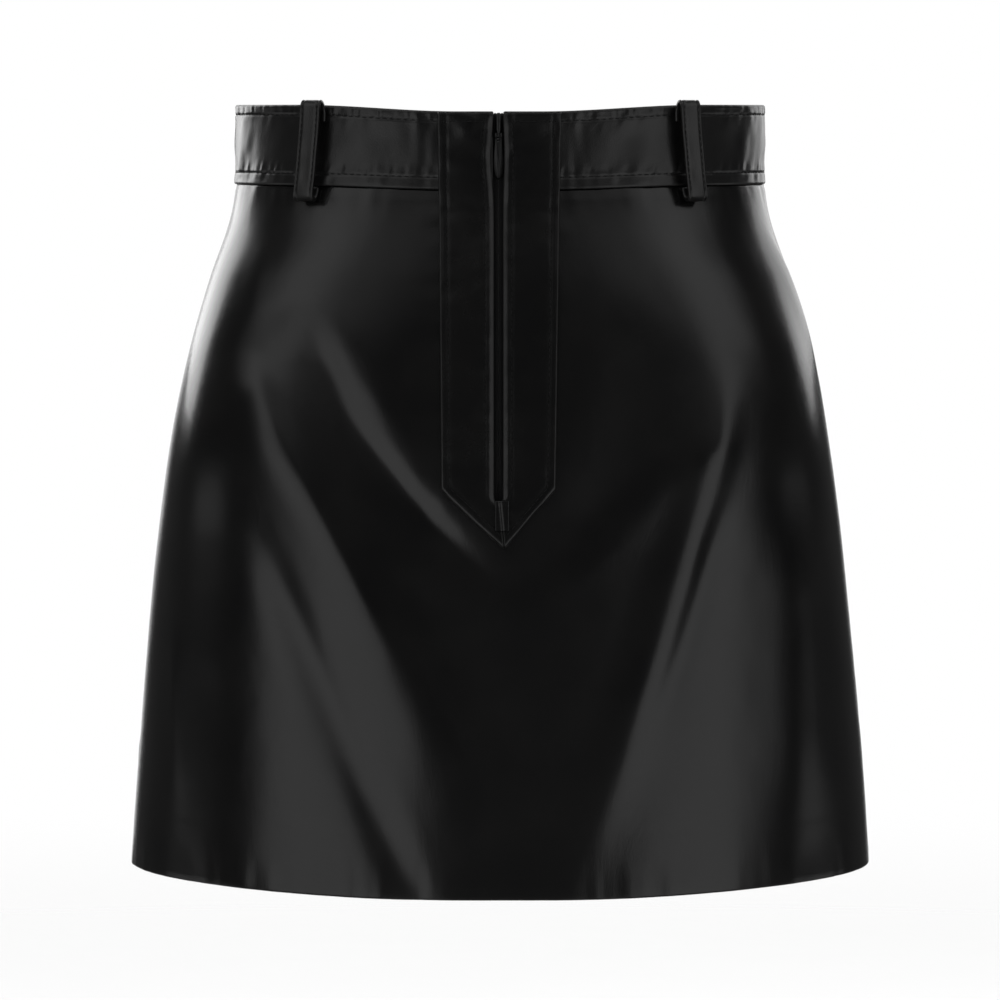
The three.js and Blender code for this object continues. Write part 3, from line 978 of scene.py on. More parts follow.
@dataclass
class SubAssembly:
    """A group of pieces that ride on one body."""

    body: str = SKIRT_BODY

    def wear(self, piece: bpy.types.Object, finish: Finish, slot: str, *nodes: str) -> bpy.types.Object:
        """Gives a piece its finish, hangs it on its body and hides the solids that it stands for.

        Args:
            piece: the new piece.
            finish: its finish.
            slot: not used.
            nodes: the solids that it stands for.

        Returns:
            The piece.
        """
        piece.data.materials.append(finish.material())
        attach(piece, self.body)
        if nodes:
            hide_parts(*nodes)
        LOG.info("%s: %d faces, %s", piece.name, len(piece.data.polygons), finish.name)
        return piece

    def sewing(self, name: str, parts: Sequence[tuple[Grid, list]]) -> bpy.types.Object:
        """Joins stitches into one piece of thread."""
        return self.wear(make_object(name, *joined(parts)), THREAD, "textile")

    def seam(
        self, bearing: Grid, z: Grid, out: Grid, thread: Thread = TOPSTITCH
    ) -> list[tuple[Grid, list]]:
        """Stitches along bearings and heights, at a distance out of the surface.

        Args:
            bearing: bearings in degrees.
            z: heights.
            out: how far out of the skirt's form the leather lies.
            thread: the thread.

        Returns:
            Points and faces of each stitch.
        """
        bearing, z = np.broadcast_arrays(np.asarray(bearing, float), np.asarray(z, float))
        out = np.broadcast_to(out, bearing.shape)
        return thread.run(FORM.off(bearing, z, out), FORM.normal(bearing, z))


@dataclass
class Panels(SubAssembly):
    """The front and back panels, each one cut piece with a turned hem."""

    leather: float = 0.0012
    slit_half: float = 0.0028
    slit_end: float = -0.167
    seam_lap: float = 0.0002
    tuck: float = 0.0012
    hem_turn: float = 0.0012
    hem_turn_top: float = -0.320
    hem_round: float = 0.0011
    half_columns: int = 104
    upper_rows: int = 64
    lower_rows: int = 76
    placket_half: float = 0.0285

    def relief(self, bearing: Grid, z: Grid) -> Grid:
        """Creases, and puckers beside the seams.

        Args:
            bearing: bearings in degrees.
            z: heights.

        Returns:
            How far the leather lies off the skirt's form.
        """
        arc = np.radians(bearing) * FORM.arc_radius
        below_band = FORM.lower_edge(bearing) - z
        above_hem = z - FORM.hem_edge(bearing)
        point = FORM.point(bearing, z)
        beside_strip = np.abs(point[..., 0]) - self.placket_half
        from_seam = np.abs(np.abs(turned(bearing)) - 90.0) * np.radians(1.0) * FORM.arc_radius
        strip_rows = ease(-0.200, -0.170, z) * (np.abs(turned(bearing)) < 90)
        tight = lattice_noise(arc / 0.0075, z / 0.040, 11) * bump_of(below_band, 0.009) * 0.34 * MM
        hem = lattice_noise(arc / 0.0042, z / 0.060, 13) * ease(0.024, 0.004, above_hem) * 0.20 * MM
        strip = lattice_noise(z / 0.0065, arc / 0.030, 17) * bump_of(beside_strip, 0.006) * 0.20 * MM
        side = lattice_noise(z / 0.0080, arc / 0.050, 19) * bump_of(from_seam, 0.008) * 0.22 * MM
        groove = -bump_of(from_seam, 0.0011) * 0.40 * MM
        turn_mark = -bump_of(above_hem - 0.031, 0.0012) * 0.05 * MM
        under_band = -ease(0.0026, 0.0004, below_band) * 0.45 * MM
        seams = side + groove + turn_mark + under_band
        return FORM.crease_lift(bearing, z) + tight + hem + strip * strip_rows + seams

    def heights(self, bearing: Grid) -> Grid:
        """Rows of heights from under the band to the hem, for a row of bearings.

        Args:
            bearing: a row of bearings in degrees.

        Returns:
            A grid of heights, with a column for each bearing.
        """
        top = FORM.lower_edge(bearing)[None, :] + self.tuck
        hem = FORM.hem_edge(bearing)[None, :]
        upper = np.linspace(0.0, 1.0, self.upper_rows + 1)[:-1, None]
        lower = np.linspace(0.0, 1.0, self.lower_rows + 1)[:, None]
        turn = self.hem_round * (1.0 - np.sin(np.linspace(0.2, 1.0, 5) * np.pi / 2))[:, None]
        return np.concatenate(
            [mix(top, self.slit_end, upper), mix(self.slit_end, hem + self.hem_round, lower), hem + turn]
        )

    def rounding(self, bearing: Grid, z: Grid) -> Grid:
        """How far the folded hem's outer side draws in over its last millimetre."""
        share = np.clip(1.0 - (z - FORM.hem_edge(bearing)) / self.hem_round, 0.0, 1.0)
        return self.hem_round * (1.0 - np.sqrt(1.0 - share**2))

    def sheet(self, name: str, bearings: Grid, z: Grid, keep: Grid | None, node: str) -> bpy.types.Object:
        """One panel from its grids of bearings and heights.

        Args:
            name: the piece's name.
            bearings: a grid of bearings in degrees.
            z: a grid of heights.
            keep: which cells are there.
            node: the solid that it stands for.

        Returns:
            The panel.
        """
        relief = self.relief(bearings, z)
        turn = self.hem_turn * ease(self.hem_turn_top + 0.0015, self.hem_turn_top - 0.0015, z)
        rounding = self.rounding(bearings, z)
        outer = FORM.off(bearings, z, relief - rounding)
        inner_out = relief * 0.7 - self.leather - turn + rounding * 0.6
        inner = FORM.off(bearings, z, inner_out)
        inner[..., 2] = z
        from_seam = np.abs(np.abs(turned(bearings)) - 90.0) * np.radians(1.0) * FORM.arc_radius
        wear = bump_of(z - FORM.hem_edge(bearings), 0.0014) + 0.5 * bump_of(from_seam, 0.0012)
        return self.wear(shell(name, outer, inner, keep, np.clip(wear, 0, 1)), LEATHER, "leather", node)

    def build(self) -> list[bpy.types.Object]:
        return [self.front(), self.back()]

    def front(self) -> bpy.types.Object:
        """The front panel, with the zip's slit at its centre.

        Returns:
            The piece.
        """
        shares = np.linspace(1.0, 0.0, self.half_columns + 1)
        rough = np.concatenate([-90.0 * shares, 90.0 * shares[::-1]])
        z = self.heights(rough)
        slit_left = FORM.bearing_of_x(FORM.slit_x - self.slit_half, z[:, :1])
        slit_right = FORM.bearing_of_x(FORM.slit_x + self.slit_half, z[:, :1])
        left = mix(slit_left, FORM.side_bearing(Side.LEFT, z[:, :1], -self.seam_lap), shares[None, :])
        side_right = FORM.side_bearing(Side.RIGHT, z[:, :1], -self.seam_lap)
        right = mix(slit_right, side_right, shares[None, ::-1])
        bearings = np.concatenate([left, right], axis=1)
        keep = np.ones((z.shape[0] - 1, z.shape[1] - 1), bool)
        keep[: self.upper_rows, self.half_columns] = False
        piece = self.sheet("skirt_front", bearings, z, keep, "front_panel")
        return piece

    def back(self) -> bpy.types.Object:
        """The back panel.

        Returns:
            The piece.
        """
        shares = np.linspace(-1.0, 1.0, 2 * self.half_columns + 1)
        z = self.heights(180.0 + 90.0 * shares)
        bearings = 180.0 + shares[None, :] * FORM.side_bearing(Side.RIGHT, z[:, :1], -self.seam_lap)
        piece = self.sheet("skirt_back", bearings, z, None, "back_panel")
        return piece


@dataclass
class Waistband(SubAssembly):
    """The waistband: three straps, folded at the top, lapped over the panels and topstitched."""

    leather: float = 0.0012
    proud: float = 0.0010
    slit_half: float = 0.0028
    seam_lap: float = 0.0002
    stitch_below_top: float = 0.0048
    stitch_above_lower: float = 0.0058
    face_rows: int = 80
    edge_round: float = 0.0013
    lap: float = 0.0014
    column_step: float = 0.0007
    flat_height: float = 0.042

    def relief(self, bearing: Grid, share: Grid) -> Grid:
        """Puckers along both stitch lines and soft crumples between them.

        Args:
            bearing: bearings in degrees.
            share: how far down the band's face, from 0 to 1.

        Returns:
            How far the face lies off its even height.
        """
        arc = np.radians(bearing) * FORM.arc_radius
        height = self.height(bearing)
        from_top = share * height
        from_low = height - from_top
        top_line = bump_of(from_top - self.stitch_below_top, 0.0045)
        low_line = bump_of(from_low - self.stitch_above_lower, 0.0050)
        slant = arc + from_top * 0.35
        tight = lattice_noise(slant / 0.0048, from_top / 0.013, 23) * (top_line + low_line) * 0.30 * MM
        hemmed = ease(0.0002, 0.0016, from_top) * ease(self.stitch_below_top + 0.0012, 0.003, from_top)
        pucker = lattice_noise(arc / 0.0023, from_top / 0.008, 61) * hemmed * 0.22 * MM
        drawn = bump_of(from_low - self.stitch_above_lower - 0.0022, 0.0026)
        gather = lattice_noise((arc - from_low * 0.3) / 0.0027, from_low / 0.009, 67) * drawn * 0.20 * MM
        crumple = lattice_noise(slant / 0.016, from_top / 0.015, 29) * 0.38 * MM
        slow = lattice_noise(arc / 0.045, from_top / 0.040, 31) * 0.35 * MM
        near_strip = bump_of(np.abs(turned(bearing)) - 19.0, 9.0)
        upright = lattice_noise(arc / 0.0060, from_top / 0.030, 71) * near_strip * 0.34 * MM
        near_side = bump_of(np.abs(90.0 - np.abs(turned(bearing))) - 10.0, 16.0)
        worn = lattice_noise(slant / 0.0085, from_top / 0.0095, 73) * near_side * 0.36 * MM
        grooves = bump_of(from_top - self.stitch_below_top, 0.00055) * 0.42 * MM
        grooves = grooves + bump_of(from_low - self.stitch_above_lower, 0.00055) * 0.42 * MM
        edges = ease(0.0, 0.003, np.minimum(from_top, from_low))
        soft = (tight + crumple + slow + upright + worn) * (0.35 + 0.65 * edges)
        return soft + pucker + gather - grooves

    def height(self, bearing: Grid) -> Grid:
        """Height of the band's face at a bearing."""
        return FORM.top_edge(bearing) - FORM.lower_edge(bearing)

    def strap(self, name: str, mid: Grid, node: str) -> bpy.types.Object:
        """One strap of the band.

        Args:
            name: the piece's name.
            mid: its bearings, from one end to the other.
            node: the solid that it stands for.

        Returns:
            The strap.
        """
        height = self.height(mid)[:, None]
        top = FORM.top_edge(mid)[:, None]
        face = np.linspace(0.0, 1.0, self.face_rows + 1)[None, :]
        roll = np.sin(np.linspace(0.15, 1.0, 5) * np.pi / 2)
        down = self.edge_round + face * (height - 2 * self.edge_round)
        bearing = mid[:, None]
        share = down / height
        face_out = self.proud + self.relief(bearing, share)
        low_down = height - self.edge_round * (1.0 - roll)[None, :] + 0 * bearing
        low_drop = (self.proud - 0.1 * MM) * (1.0 - np.cos(np.arcsin(roll)))
        low_out = face_out[:, -1:] - low_drop[None, :]
        lap_down = height + np.array([[-0.2, -0.8, -self.lap / MM]]) * MM
        lap_out = np.array([[0.10, 0.06, 0.04]]) * MM + 0 * bearing
        rising = np.linspace(0.0, 1.0, 12)[None, :]
        back_down = mix(height - self.lap, self.edge_round + 0 * height, rising)
        back_out = -self.leather + 0 * back_down
        over = np.linspace(0.0, 1.0, 9) * np.pi
        top_down = self.edge_round * (1.0 - np.sin(over))[None, :] + 0 * bearing
        turn = 0.5 - 0.5 * np.cos(over)
        top_out = mix(-self.leather, face_out[:, :1], turn[None, :])
        downs = np.concatenate([down, low_down, lap_down, back_down, top_down[:, 1:-1]], axis=1)
        outs = np.concatenate([face_out, low_out, lap_out, back_out, top_out[:, 1:-1]], axis=1)
        z = top - downs
        bearings = np.repeat(bearing, z.shape[1], axis=1)
        loops = FORM.off(bearings, z, outs)
        loops[..., 2] = z
        from_edge = np.minimum(downs, np.maximum(height - downs, 0.0))
        wear = bump_of(from_edge, 0.0014) * (outs > 0)
        return self.wear(loft(name, loops, np.clip(wear, 0, 1)), BAND_LEATHER, "leather", node)

    def columns(self, start: float, end: float) -> Grid:
        """Evenly spaced bearings between two bearings."""
        arc = abs(end - start) * np.radians(1.0) * 0.115
        return np.linspace(start, end, int(arc / self.column_step))

    def build(self) -> list[bpy.types.Object]:
        """Builds the three straps and their stitching.

        Returns:
            The pieces.
        """
        pieces = []
        side = float(FORM.side_bearing(Side.RIGHT, 0.0, -self.seam_lap))
        slit_left = float(FORM.bearing_of_x(FORM.slit_x - self.slit_half, 0.0))
        slit_right = float(FORM.bearing_of_x(FORM.slit_x + self.slit_half, 0.0))
        straps = (
            ("left", "waistband_front_left", -side, slit_left, 0.178),
            ("right", "waistband_front_right", slit_right, side, 0.179),
            ("back", "waistband_back", 180.0 - side, 180.0 + side, 0.358),
        )
        for name, node, start, end, length in straps:
            line = self.columns(start, end)
            strap = self.strap(f"waistband_leather_{name}", line, node)
            stitches = self.stitches(name, line)
            pieces += [strap, stitches]
        return pieces

    def stitches(self, name: str, line: Grid) -> bpy.types.Object:
        """Both rows of topstitching of a strap.

        Args:
            name: the strap's name.
            line: its bearings in degrees.

        Returns:
            The piece.
        """
        inside = line[3:-3]
        height = self.height(inside)
        parts = []
        for down in (self.stitch_below_top + 0 * height, height - self.stitch_above_lower):
            out = self.proud + self.relief(inside, down / height)
            parts += self.seam(inside, FORM.top_edge(inside) - down, out)
        return self.sewing(f"waistband_stitches_{name}", parts)


@dataclass
class Placket(SubAssembly):
    """The pointed strip over the zip: two halves with rolled lips, and the tab below the zip."""

    leather: float = 0.0013
    proud: float = 0.0010
    seam_gap: float = 0.0003
    top: float = 0.0165
    top_x: dict[Side, float] = field(default_factory=lambda: {Side.LEFT: -0.0293, Side.RIGHT: 0.0289})
    corner_x: dict[Side, float] = field(default_factory=lambda: {Side.LEFT: -0.0276, Side.RIGHT: 0.0262})
    corner_z: float = -0.1615
    tip_x: float = 0.0019
    tip_z: float = -0.1895
    lip_half: float = 0.0022
    lip_bulge: dict[Side, float] = field(default_factory=lambda: {Side.LEFT: 0.0015, Side.RIGHT: 0.0006})
    lip_bulge_z: float = -0.005
    lip_bulge_length: float = 0.015
    lip_width: float = 0.0023
    lip_height: float = 0.00092
    lip_stitch: float = 0.0041
    slit_end: float = -0.167
    edge_stitch: float = 0.0038
    top_stitch: float = 0.0045
    tab_x: tuple[float, float] = (-0.0024, 0.0044)
    tab_z: tuple[float, float] = (-0.1665, -0.1810)
    tab_thick: float = 0.0010
    columns: int = 40
    rows: int = 170

    def lip_x(self, side: Side, z: Grid) -> Grid:
        """X of a half's inner edge, which opens round the pull and closes below the slit.

        Args:
            side: which half.
            z: heights.

        Returns:
            X at each height.
        """
        bulge = self.lip_bulge[side] * bump_of(z - self.lip_bulge_z, self.lip_bulge_length)
        closing = ease(self.slit_end + 0.002, self.slit_end - 0.003, z)
        centre = mix(FORM.slit_x, self.tip_x, ease(self.slit_end + 0.002, self.tip_z, z))
        return centre + side.value * mix(self.lip_half + bulge, self.seam_gap / 2, closing)

    def outer_x(self, side: Side, z: Grid) -> Grid:
        """X of a half's outer edge above its corner."""
        share = np.minimum(1.0, (FORM.waist_top - z) / (FORM.waist_top - self.corner_z))
        return mix(self.top_x[side], self.corner_x[side], share)

    def under(self, z: Grid) -> Grid:
        """How far out the strip's underside lies, over the band and over the panel."""
        return self.seam_gap + self.proud * ease(-0.031, -0.0195, z)

    def from_slope(self, side: Side, x: Grid, z: Grid) -> Grid:
        """Distance from the slanting lower edge, inside the strip.

        Args:
            side: which half.
            x: places across the front.
            z: heights.

        Returns:
            The distance, negative below the edge.
        """
        run = (self.corner_x[side] - self.tip_x, self.corner_z - self.tip_z)
        length = math.hypot(*run)
        return ((z - self.tip_z) * abs(run[0]) - side.value * (x - self.tip_x) * run[1]) / length

    def face(self, side: Side, x: Grid, z: Grid) -> Grid:
        """Height of the strip's face over its flat middle.

        Args:
            side: which half.
            x: places across the front.
            z: heights.

        Returns:
            The height at each place.
        """
        from_lip = np.abs(x - self.lip_x(side, z))
        from_outer = np.abs(self.outer_x(side, z) - x)
        from_edge = np.minimum(from_outer, np.maximum(self.from_slope(side, x, z), 0.0))
        open_share = 1.0 - ease(self.slit_end + 0.004, self.slit_end - 0.004, z)
        bead = self.lip_height * np.maximum(0.0, 1.0 - from_lip / self.lip_width) ** 1.15
        ditch = -0.20 * MM * bump_of(from_lip - self.lip_stitch, 0.0006)
        stitched = -0.22 * MM * bump_of(from_edge - self.edge_stitch, 0.0006)
        swollen = 0.08 * MM * bump_of(from_edge - self.edge_stitch * 0.5, self.edge_stitch * 0.4)
        ripple_lip = lattice_noise(z / 0.0052, x / 0.010, 37 + side.value)
        ripple_lip = ripple_lip * bump_of(from_lip - 0.005, 0.005)
        ripple_edge = lattice_noise(z / 0.0062, x / 0.012, 41 + side.value)
        ripple_edge = ripple_edge * bump_of(from_edge - 0.004, 0.005)
        slow = lattice_noise(x / 0.014, z / 0.030, 43) * 0.22 * MM
        crumple = lattice_noise(x / 0.008, z / 0.008, 47) * ease(-0.012, 0.010, z) * 0.55 * MM
        rounding = self.rounded(from_edge, 0.0008) + self.rounded(from_lip, 0.0004)
        ripples = (ripple_lip * 0.30 + ripple_edge * 0.22) * MM
        return (bead + ditch) * open_share + stitched + swollen + ripples + slow + crumple - rounding

    def rounded(self, distance: Grid, radius: float) -> Grid:
        """How far a rounded edge lies below the face."""
        share = 1.0 - np.clip(distance / radius, 0.0, 1.0)
        return radius * (1.0 - np.sqrt(1.0 - share**2))

    def spacing(self, count: int, crowding: float) -> Grid:
        """Shares from 0 to 1, closer together at both ends."""
        even = np.linspace(0.0, 1.0, count + 1)
        return even - crowding * np.sin(2.0 * np.pi * even) / (2.0 * np.pi)

    def half(self, side: Side, name: str, node: str) -> bpy.types.Object:
        """One half of the strip.

        Args:
            side: which half.
            name: the piece's name.
            node: the solid that it stands for.

        Returns:
            The half.
        """
        shares = self.spacing(self.columns, 0.7)
        if side is Side.LEFT:
            shares = shares[::-1]
        down = np.linspace(0.0, 1.0, self.rows + 1)
        down = (down - 0.35 * np.sin(np.pi * down) / np.pi * down)[:, None]
        z = mix(self.top, mix(self.tip_z, self.corner_z, shares)[None, :], down)
        x = mix(self.lip_x(side, z), self.outer_x(side, z), shares[None, :])
        bearing = FORM.bearing_of_x(x, z)
        under = self.under(z)
        top_edge = self.rounded(self.top - z, 0.0007)
        thick = np.maximum(self.leather + self.face(side, x, z) - top_edge, 0.0001)
        outer = FORM.off(bearing, z, under + thick)
        inner = FORM.off(bearing, z, under)
        from_edge = np.minimum(np.abs(self.outer_x(side, z) - x), np.abs(x - self.lip_x(side, z)))
        wear = bump_of(from_edge, 0.0008) + bump_of(self.from_slope(side, x, z), 0.0008)
        piece = shell(name, outer, inner, None, np.clip(wear, 0, 1))
        return self.wear(piece, SHADED_STRIP_LEATHER, "leather", node)

    def out_at(self, side: Side, x: Grid, z: Grid) -> Grid:
        """Distance of the strip's face from the skirt's surface."""
        return self.under(z) + self.leather + self.face(side, x, z)

    def stitches(self, side: Side, name: str) -> bpy.types.Object:
        """The stitching of a half, round its edges and beside its lip.

        Args:
            side: which half.
            name: the piece's name.

        Returns:
            The piece.
        """
        straight_z = np.linspace(self.top - 0.002, self.corner_z + 0.001, 90)
        straight_x = self.outer_x(side, straight_z) - side.value * self.edge_stitch
        slope = np.linspace(0.04, 0.93, 24)
        slope_x = mix(self.corner_x[side] - side.value * self.edge_stitch, self.tip_x, slope)
        slope_z = mix(self.corner_z + 0.001, self.tip_z + self.edge_stitch * 1.35, slope)
        x = np.concatenate([straight_x, slope_x])
        z = np.concatenate([straight_z, slope_z])
        parts = self.seam(FORM.bearing_of_x(x, z), z, self.out_at(side, x, z), FINE_STITCH)
        lip_z = np.linspace(self.top - 0.003, self.slit_end + 0.006, 90)
        lip_x = self.lip_x(side, lip_z) + side.value * self.lip_stitch
        lip_out = self.out_at(side, lip_x, lip_z)
        parts += self.seam(FORM.bearing_of_x(lip_x, lip_z), lip_z, lip_out, FINE_STITCH)
        start_x = self.lip_x(side, self.top) + side.value * 0.004
        across = mix(start_x, self.outer_x(side, self.top), np.linspace(0, 0.9, 20))
        top_z = self.top - self.top_stitch + 0 * across
        top_out = self.out_at(side, across, top_z)
        parts += self.seam(FORM.bearing_of_x(across, top_z), top_z, top_out, FINE_STITCH)
        return self.sewing(name, parts)

    def end_tab(self) -> bpy.types.Object:
        """The small tab that covers the zip's end, with its middle pinched down by a seam.

        Returns:
            The piece.
        """
        left, right = self.tab_x
        top, bottom = self.tab_z
        shares = self.spacing(24, 0.6)[None, :]
        down = self.spacing(40, 0.6)[:, None]
        z = mix(top, bottom, down) + 0 * shares
        x = mix(left, right, shares) + 0 * down
        middle = mix(FORM.slit_x + 0.0006, self.tip_x - 0.0006, down)
        from_side = np.minimum(x - left, right - x)
        from_end = np.minimum(top - z, z - bottom)
        pinch = -0.42 * MM * bump_of(x - middle, 0.0005)
        bar = 0.25 * MM * bump_of(z - (top - 0.0012), 0.0010)
        rounding = self.rounded(from_side, 0.0006) + self.rounded(from_end, 0.0006)
        base = self.under(z) + self.leather + 0.0004
        lift = np.maximum(self.tab_thick * 0.75 + pinch + bar - rounding, 0.0001)
        bearing = FORM.bearing_of_x(x, z)
        piece = shell("zip_end_tab", FORM.off(bearing, z, base + lift), FORM.off(bearing, z, base))
        piece = self.wear(piece, SHADED_STRIP_LEATHER, "leather", "placket_end_tab")
        return piece

    def build(self) -> list[bpy.types.Object]:
        """Builds both halves, their stitching and the tab.

        Returns:
            The pieces.
        """
        pieces = []
        for side, word in ((Side.LEFT, "left"), (Side.RIGHT, "right")):
            half = self.half(side, f"strip_{word}", f"placket_{word}")
            stitches = self.stitches(side, f"strip_stitches_{word}")
            pieces += [half, stitches]
        pieces.append(self.end_tab())
        return pieces


@dataclass
class Zip(SubAssembly):
    """The closed zip behind the slit: two tapes, a coil on their back, and the slider."""

    leather: float = 0.0012
    seam_gap: float = 0.0003
    slit_end: float = -0.167
    tape_width: float = 0.0115
    tape_thick: float = 0.0010
    tape_top: float = 0.0158
    tape_bottom: float = -0.172
    split_half: float = 0.0015
    closed_half: float = 0.00015
    split_z: float = 0.0045
    split_length: float = 0.003
    coil_top: float = 0.0058
    coil_bottom: float = -0.168
    coil_thick: float = 0.0014
    coil_pitch: float = 0.0013
    wire: float = 0.00022
    wire_sides: int = 5
    wire_steps: int = 14

    def tape_out(self, x: Grid, z: Grid) -> Grid:
        """How far out a tape's face lies; its inner edge rises into the slit.

        Args:
            x: places across the front.
            z: heights.

        Returns:
            The distance out of the skirt's form.
        """
        away = np.abs(x - FORM.slit_x)
        rise = 0.0010 * ease(self.slit_end + 0.004, self.slit_end + 0.012, z)
        return -self.leather - self.seam_gap + rise * (1.0 - ease(0.0009, 0.0022, away))

    def tape(self, side: Side, name: str, node: str) -> bpy.types.Object:
        """One tape, with a beaded inner edge.

        Args:
            side: the tape's side.
            name: the piece's name.
            node: the solid that it stands for.

        Returns:
            The piece.
        """
        shares = np.array([0, 0.01, 0.03, 0.06, 0.1, 0.16, 0.24, 0.35, 0.5, 0.68, 0.85, 0.96, 1.0])
        if side is Side.LEFT:
            shares = shares[::-1]
        z = np.linspace(self.tape_top, self.tape_bottom, 150)[:, None] + 0 * shares[None, :]
        opened = ease(self.split_z - self.split_length, self.split_z, z)
        half = mix(self.closed_half, self.split_half, opened)
        distance = mix(half, self.tape_width, shares[None, :])
        x = FORM.slit_x + side.value * distance
        from_edge = np.minimum(distance - half, self.tape_width - distance)
        droop = 0.0003 * (1.0 - ease(0.0, 0.0006, from_edge))
        out = self.tape_out(x, z)
        bearing = FORM.bearing_of_x(x, z)
        outer = FORM.off(bearing, z, out - droop)
        inner = FORM.off(bearing, z, out - self.tape_thick + droop)
        piece = self.wear(shell(name, outer, inner), TAPE, "textile", node)
        return piece

    def coil(self) -> bpy.types.Object:
        """Two interlocked nylon coils, sewn behind the tapes.

        Returns:
            The piece.
        """
        outer = -self.leather - 2 * self.seam_gap - self.tape_thick
        turns = int((self.coil_top - self.coil_bottom - 0.0008) / self.coil_pitch)
        t = np.arange(turns * self.wire_steps + 1) / self.wire_steps
        parts = []
        for side in Side:
            z = self.coil_top - 0.0004 - (t + (0.5 if side is Side.LEFT else 0.0)) * self.coil_pitch
            z = np.maximum(z, self.coil_bottom + 0.0003)
            angle = 2.0 * np.pi * t
            x = FORM.slit_x + side.value * (0.00042 + 0.00090 * np.cos(angle))
            out = outer - self.coil_thick / 2 + 0.00046 * np.sin(angle)
            spine = FORM.off(FORM.bearing_of_x(FORM.slit_x + 0 * z, z), z, out)
            line = np.stack([x, spine[:, 1], spine[:, 2]], axis=-1)
            along = np.gradient(line, axis=0)
            along /= np.linalg.norm(along, axis=1, keepdims=True)
            aside = np.cross(along, np.array([0.0, 0.0, 1.0]))
            aside /= np.linalg.norm(aside, axis=1, keepdims=True)
            up = np.cross(aside, along)
            ring = around(aside, up, self.wire_sides)
            parts.append(loft_faces(line[:, None] + ring * self.wire))
        return self.wear(make_object("zip_coil_turns", *joined(parts)), COIL_NYLON, "coil", "zip_coil")

    def build(self) -> list[bpy.types.Object]:
        """Builds the tapes, the coil and the slider."""
        return [
            self.tape(Side.LEFT, "tape_left", "zip_tape_left"),
            self.tape(Side.RIGHT, "tape_right", "zip_tape_right"),
            self.coil(),
            Slider().build(),
        ]


def plate(outline: Grid, low: float, high: float, inset: float) -> tuple[Grid, list]:
    """A flat plate with softened rims.

    Args:
        outline: its points in X and Z, against the clock seen from the front.
        low: Y of its front.
        high: Y of its back.
        inset: how far both faces draw in from the outline.

    Returns:
        Its points and faces.
    """
    middle = outline.mean(axis=0)
    reach = np.linalg.norm(outline - middle, axis=1, keepdims=True)
    drawn = outline - (outline - middle) / reach * inset
    levels = ((drawn, low), (outline, low + inset), (outline, high - inset), (drawn, high))
    loops = [np.stack([ring[:, 0], np.full(len(ring), y), ring[:, 1]], axis=-1) for ring, y in levels]
    return loft_faces(np.array(loops)[:, ::-1])


def rod(radius: float, from_x: float, to_x: float, centre: tuple[float, float]) -> tuple[Grid, list]:
    """A rod along X with softened ends.

    Args:
        radius: its radius.
        from_x: where it starts.
        to_x: where it ends.
        centre: its Y and Z.

    Returns:
        Its points and faces.
    """
    sides = 20
    angles = np.linspace(0.0, 2.0 * np.pi, sides, endpoint=False)
    ease_in = min(radius * 0.3, (to_x - from_x) * 0.2)
    stations = (
        (from_x, radius - ease_in),
        (from_x + ease_in, radius),
        (to_x - ease_in, radius),
        (to_x, radius - ease_in),
    )
    loops = [
        np.stack([np.full(sides, x), centre[0] + r * np.cos(angles), centre[1] + r * np.sin(angles)], axis=-1)
        for x, r in stations
    ]
    return loft_faces(np.array(loops))


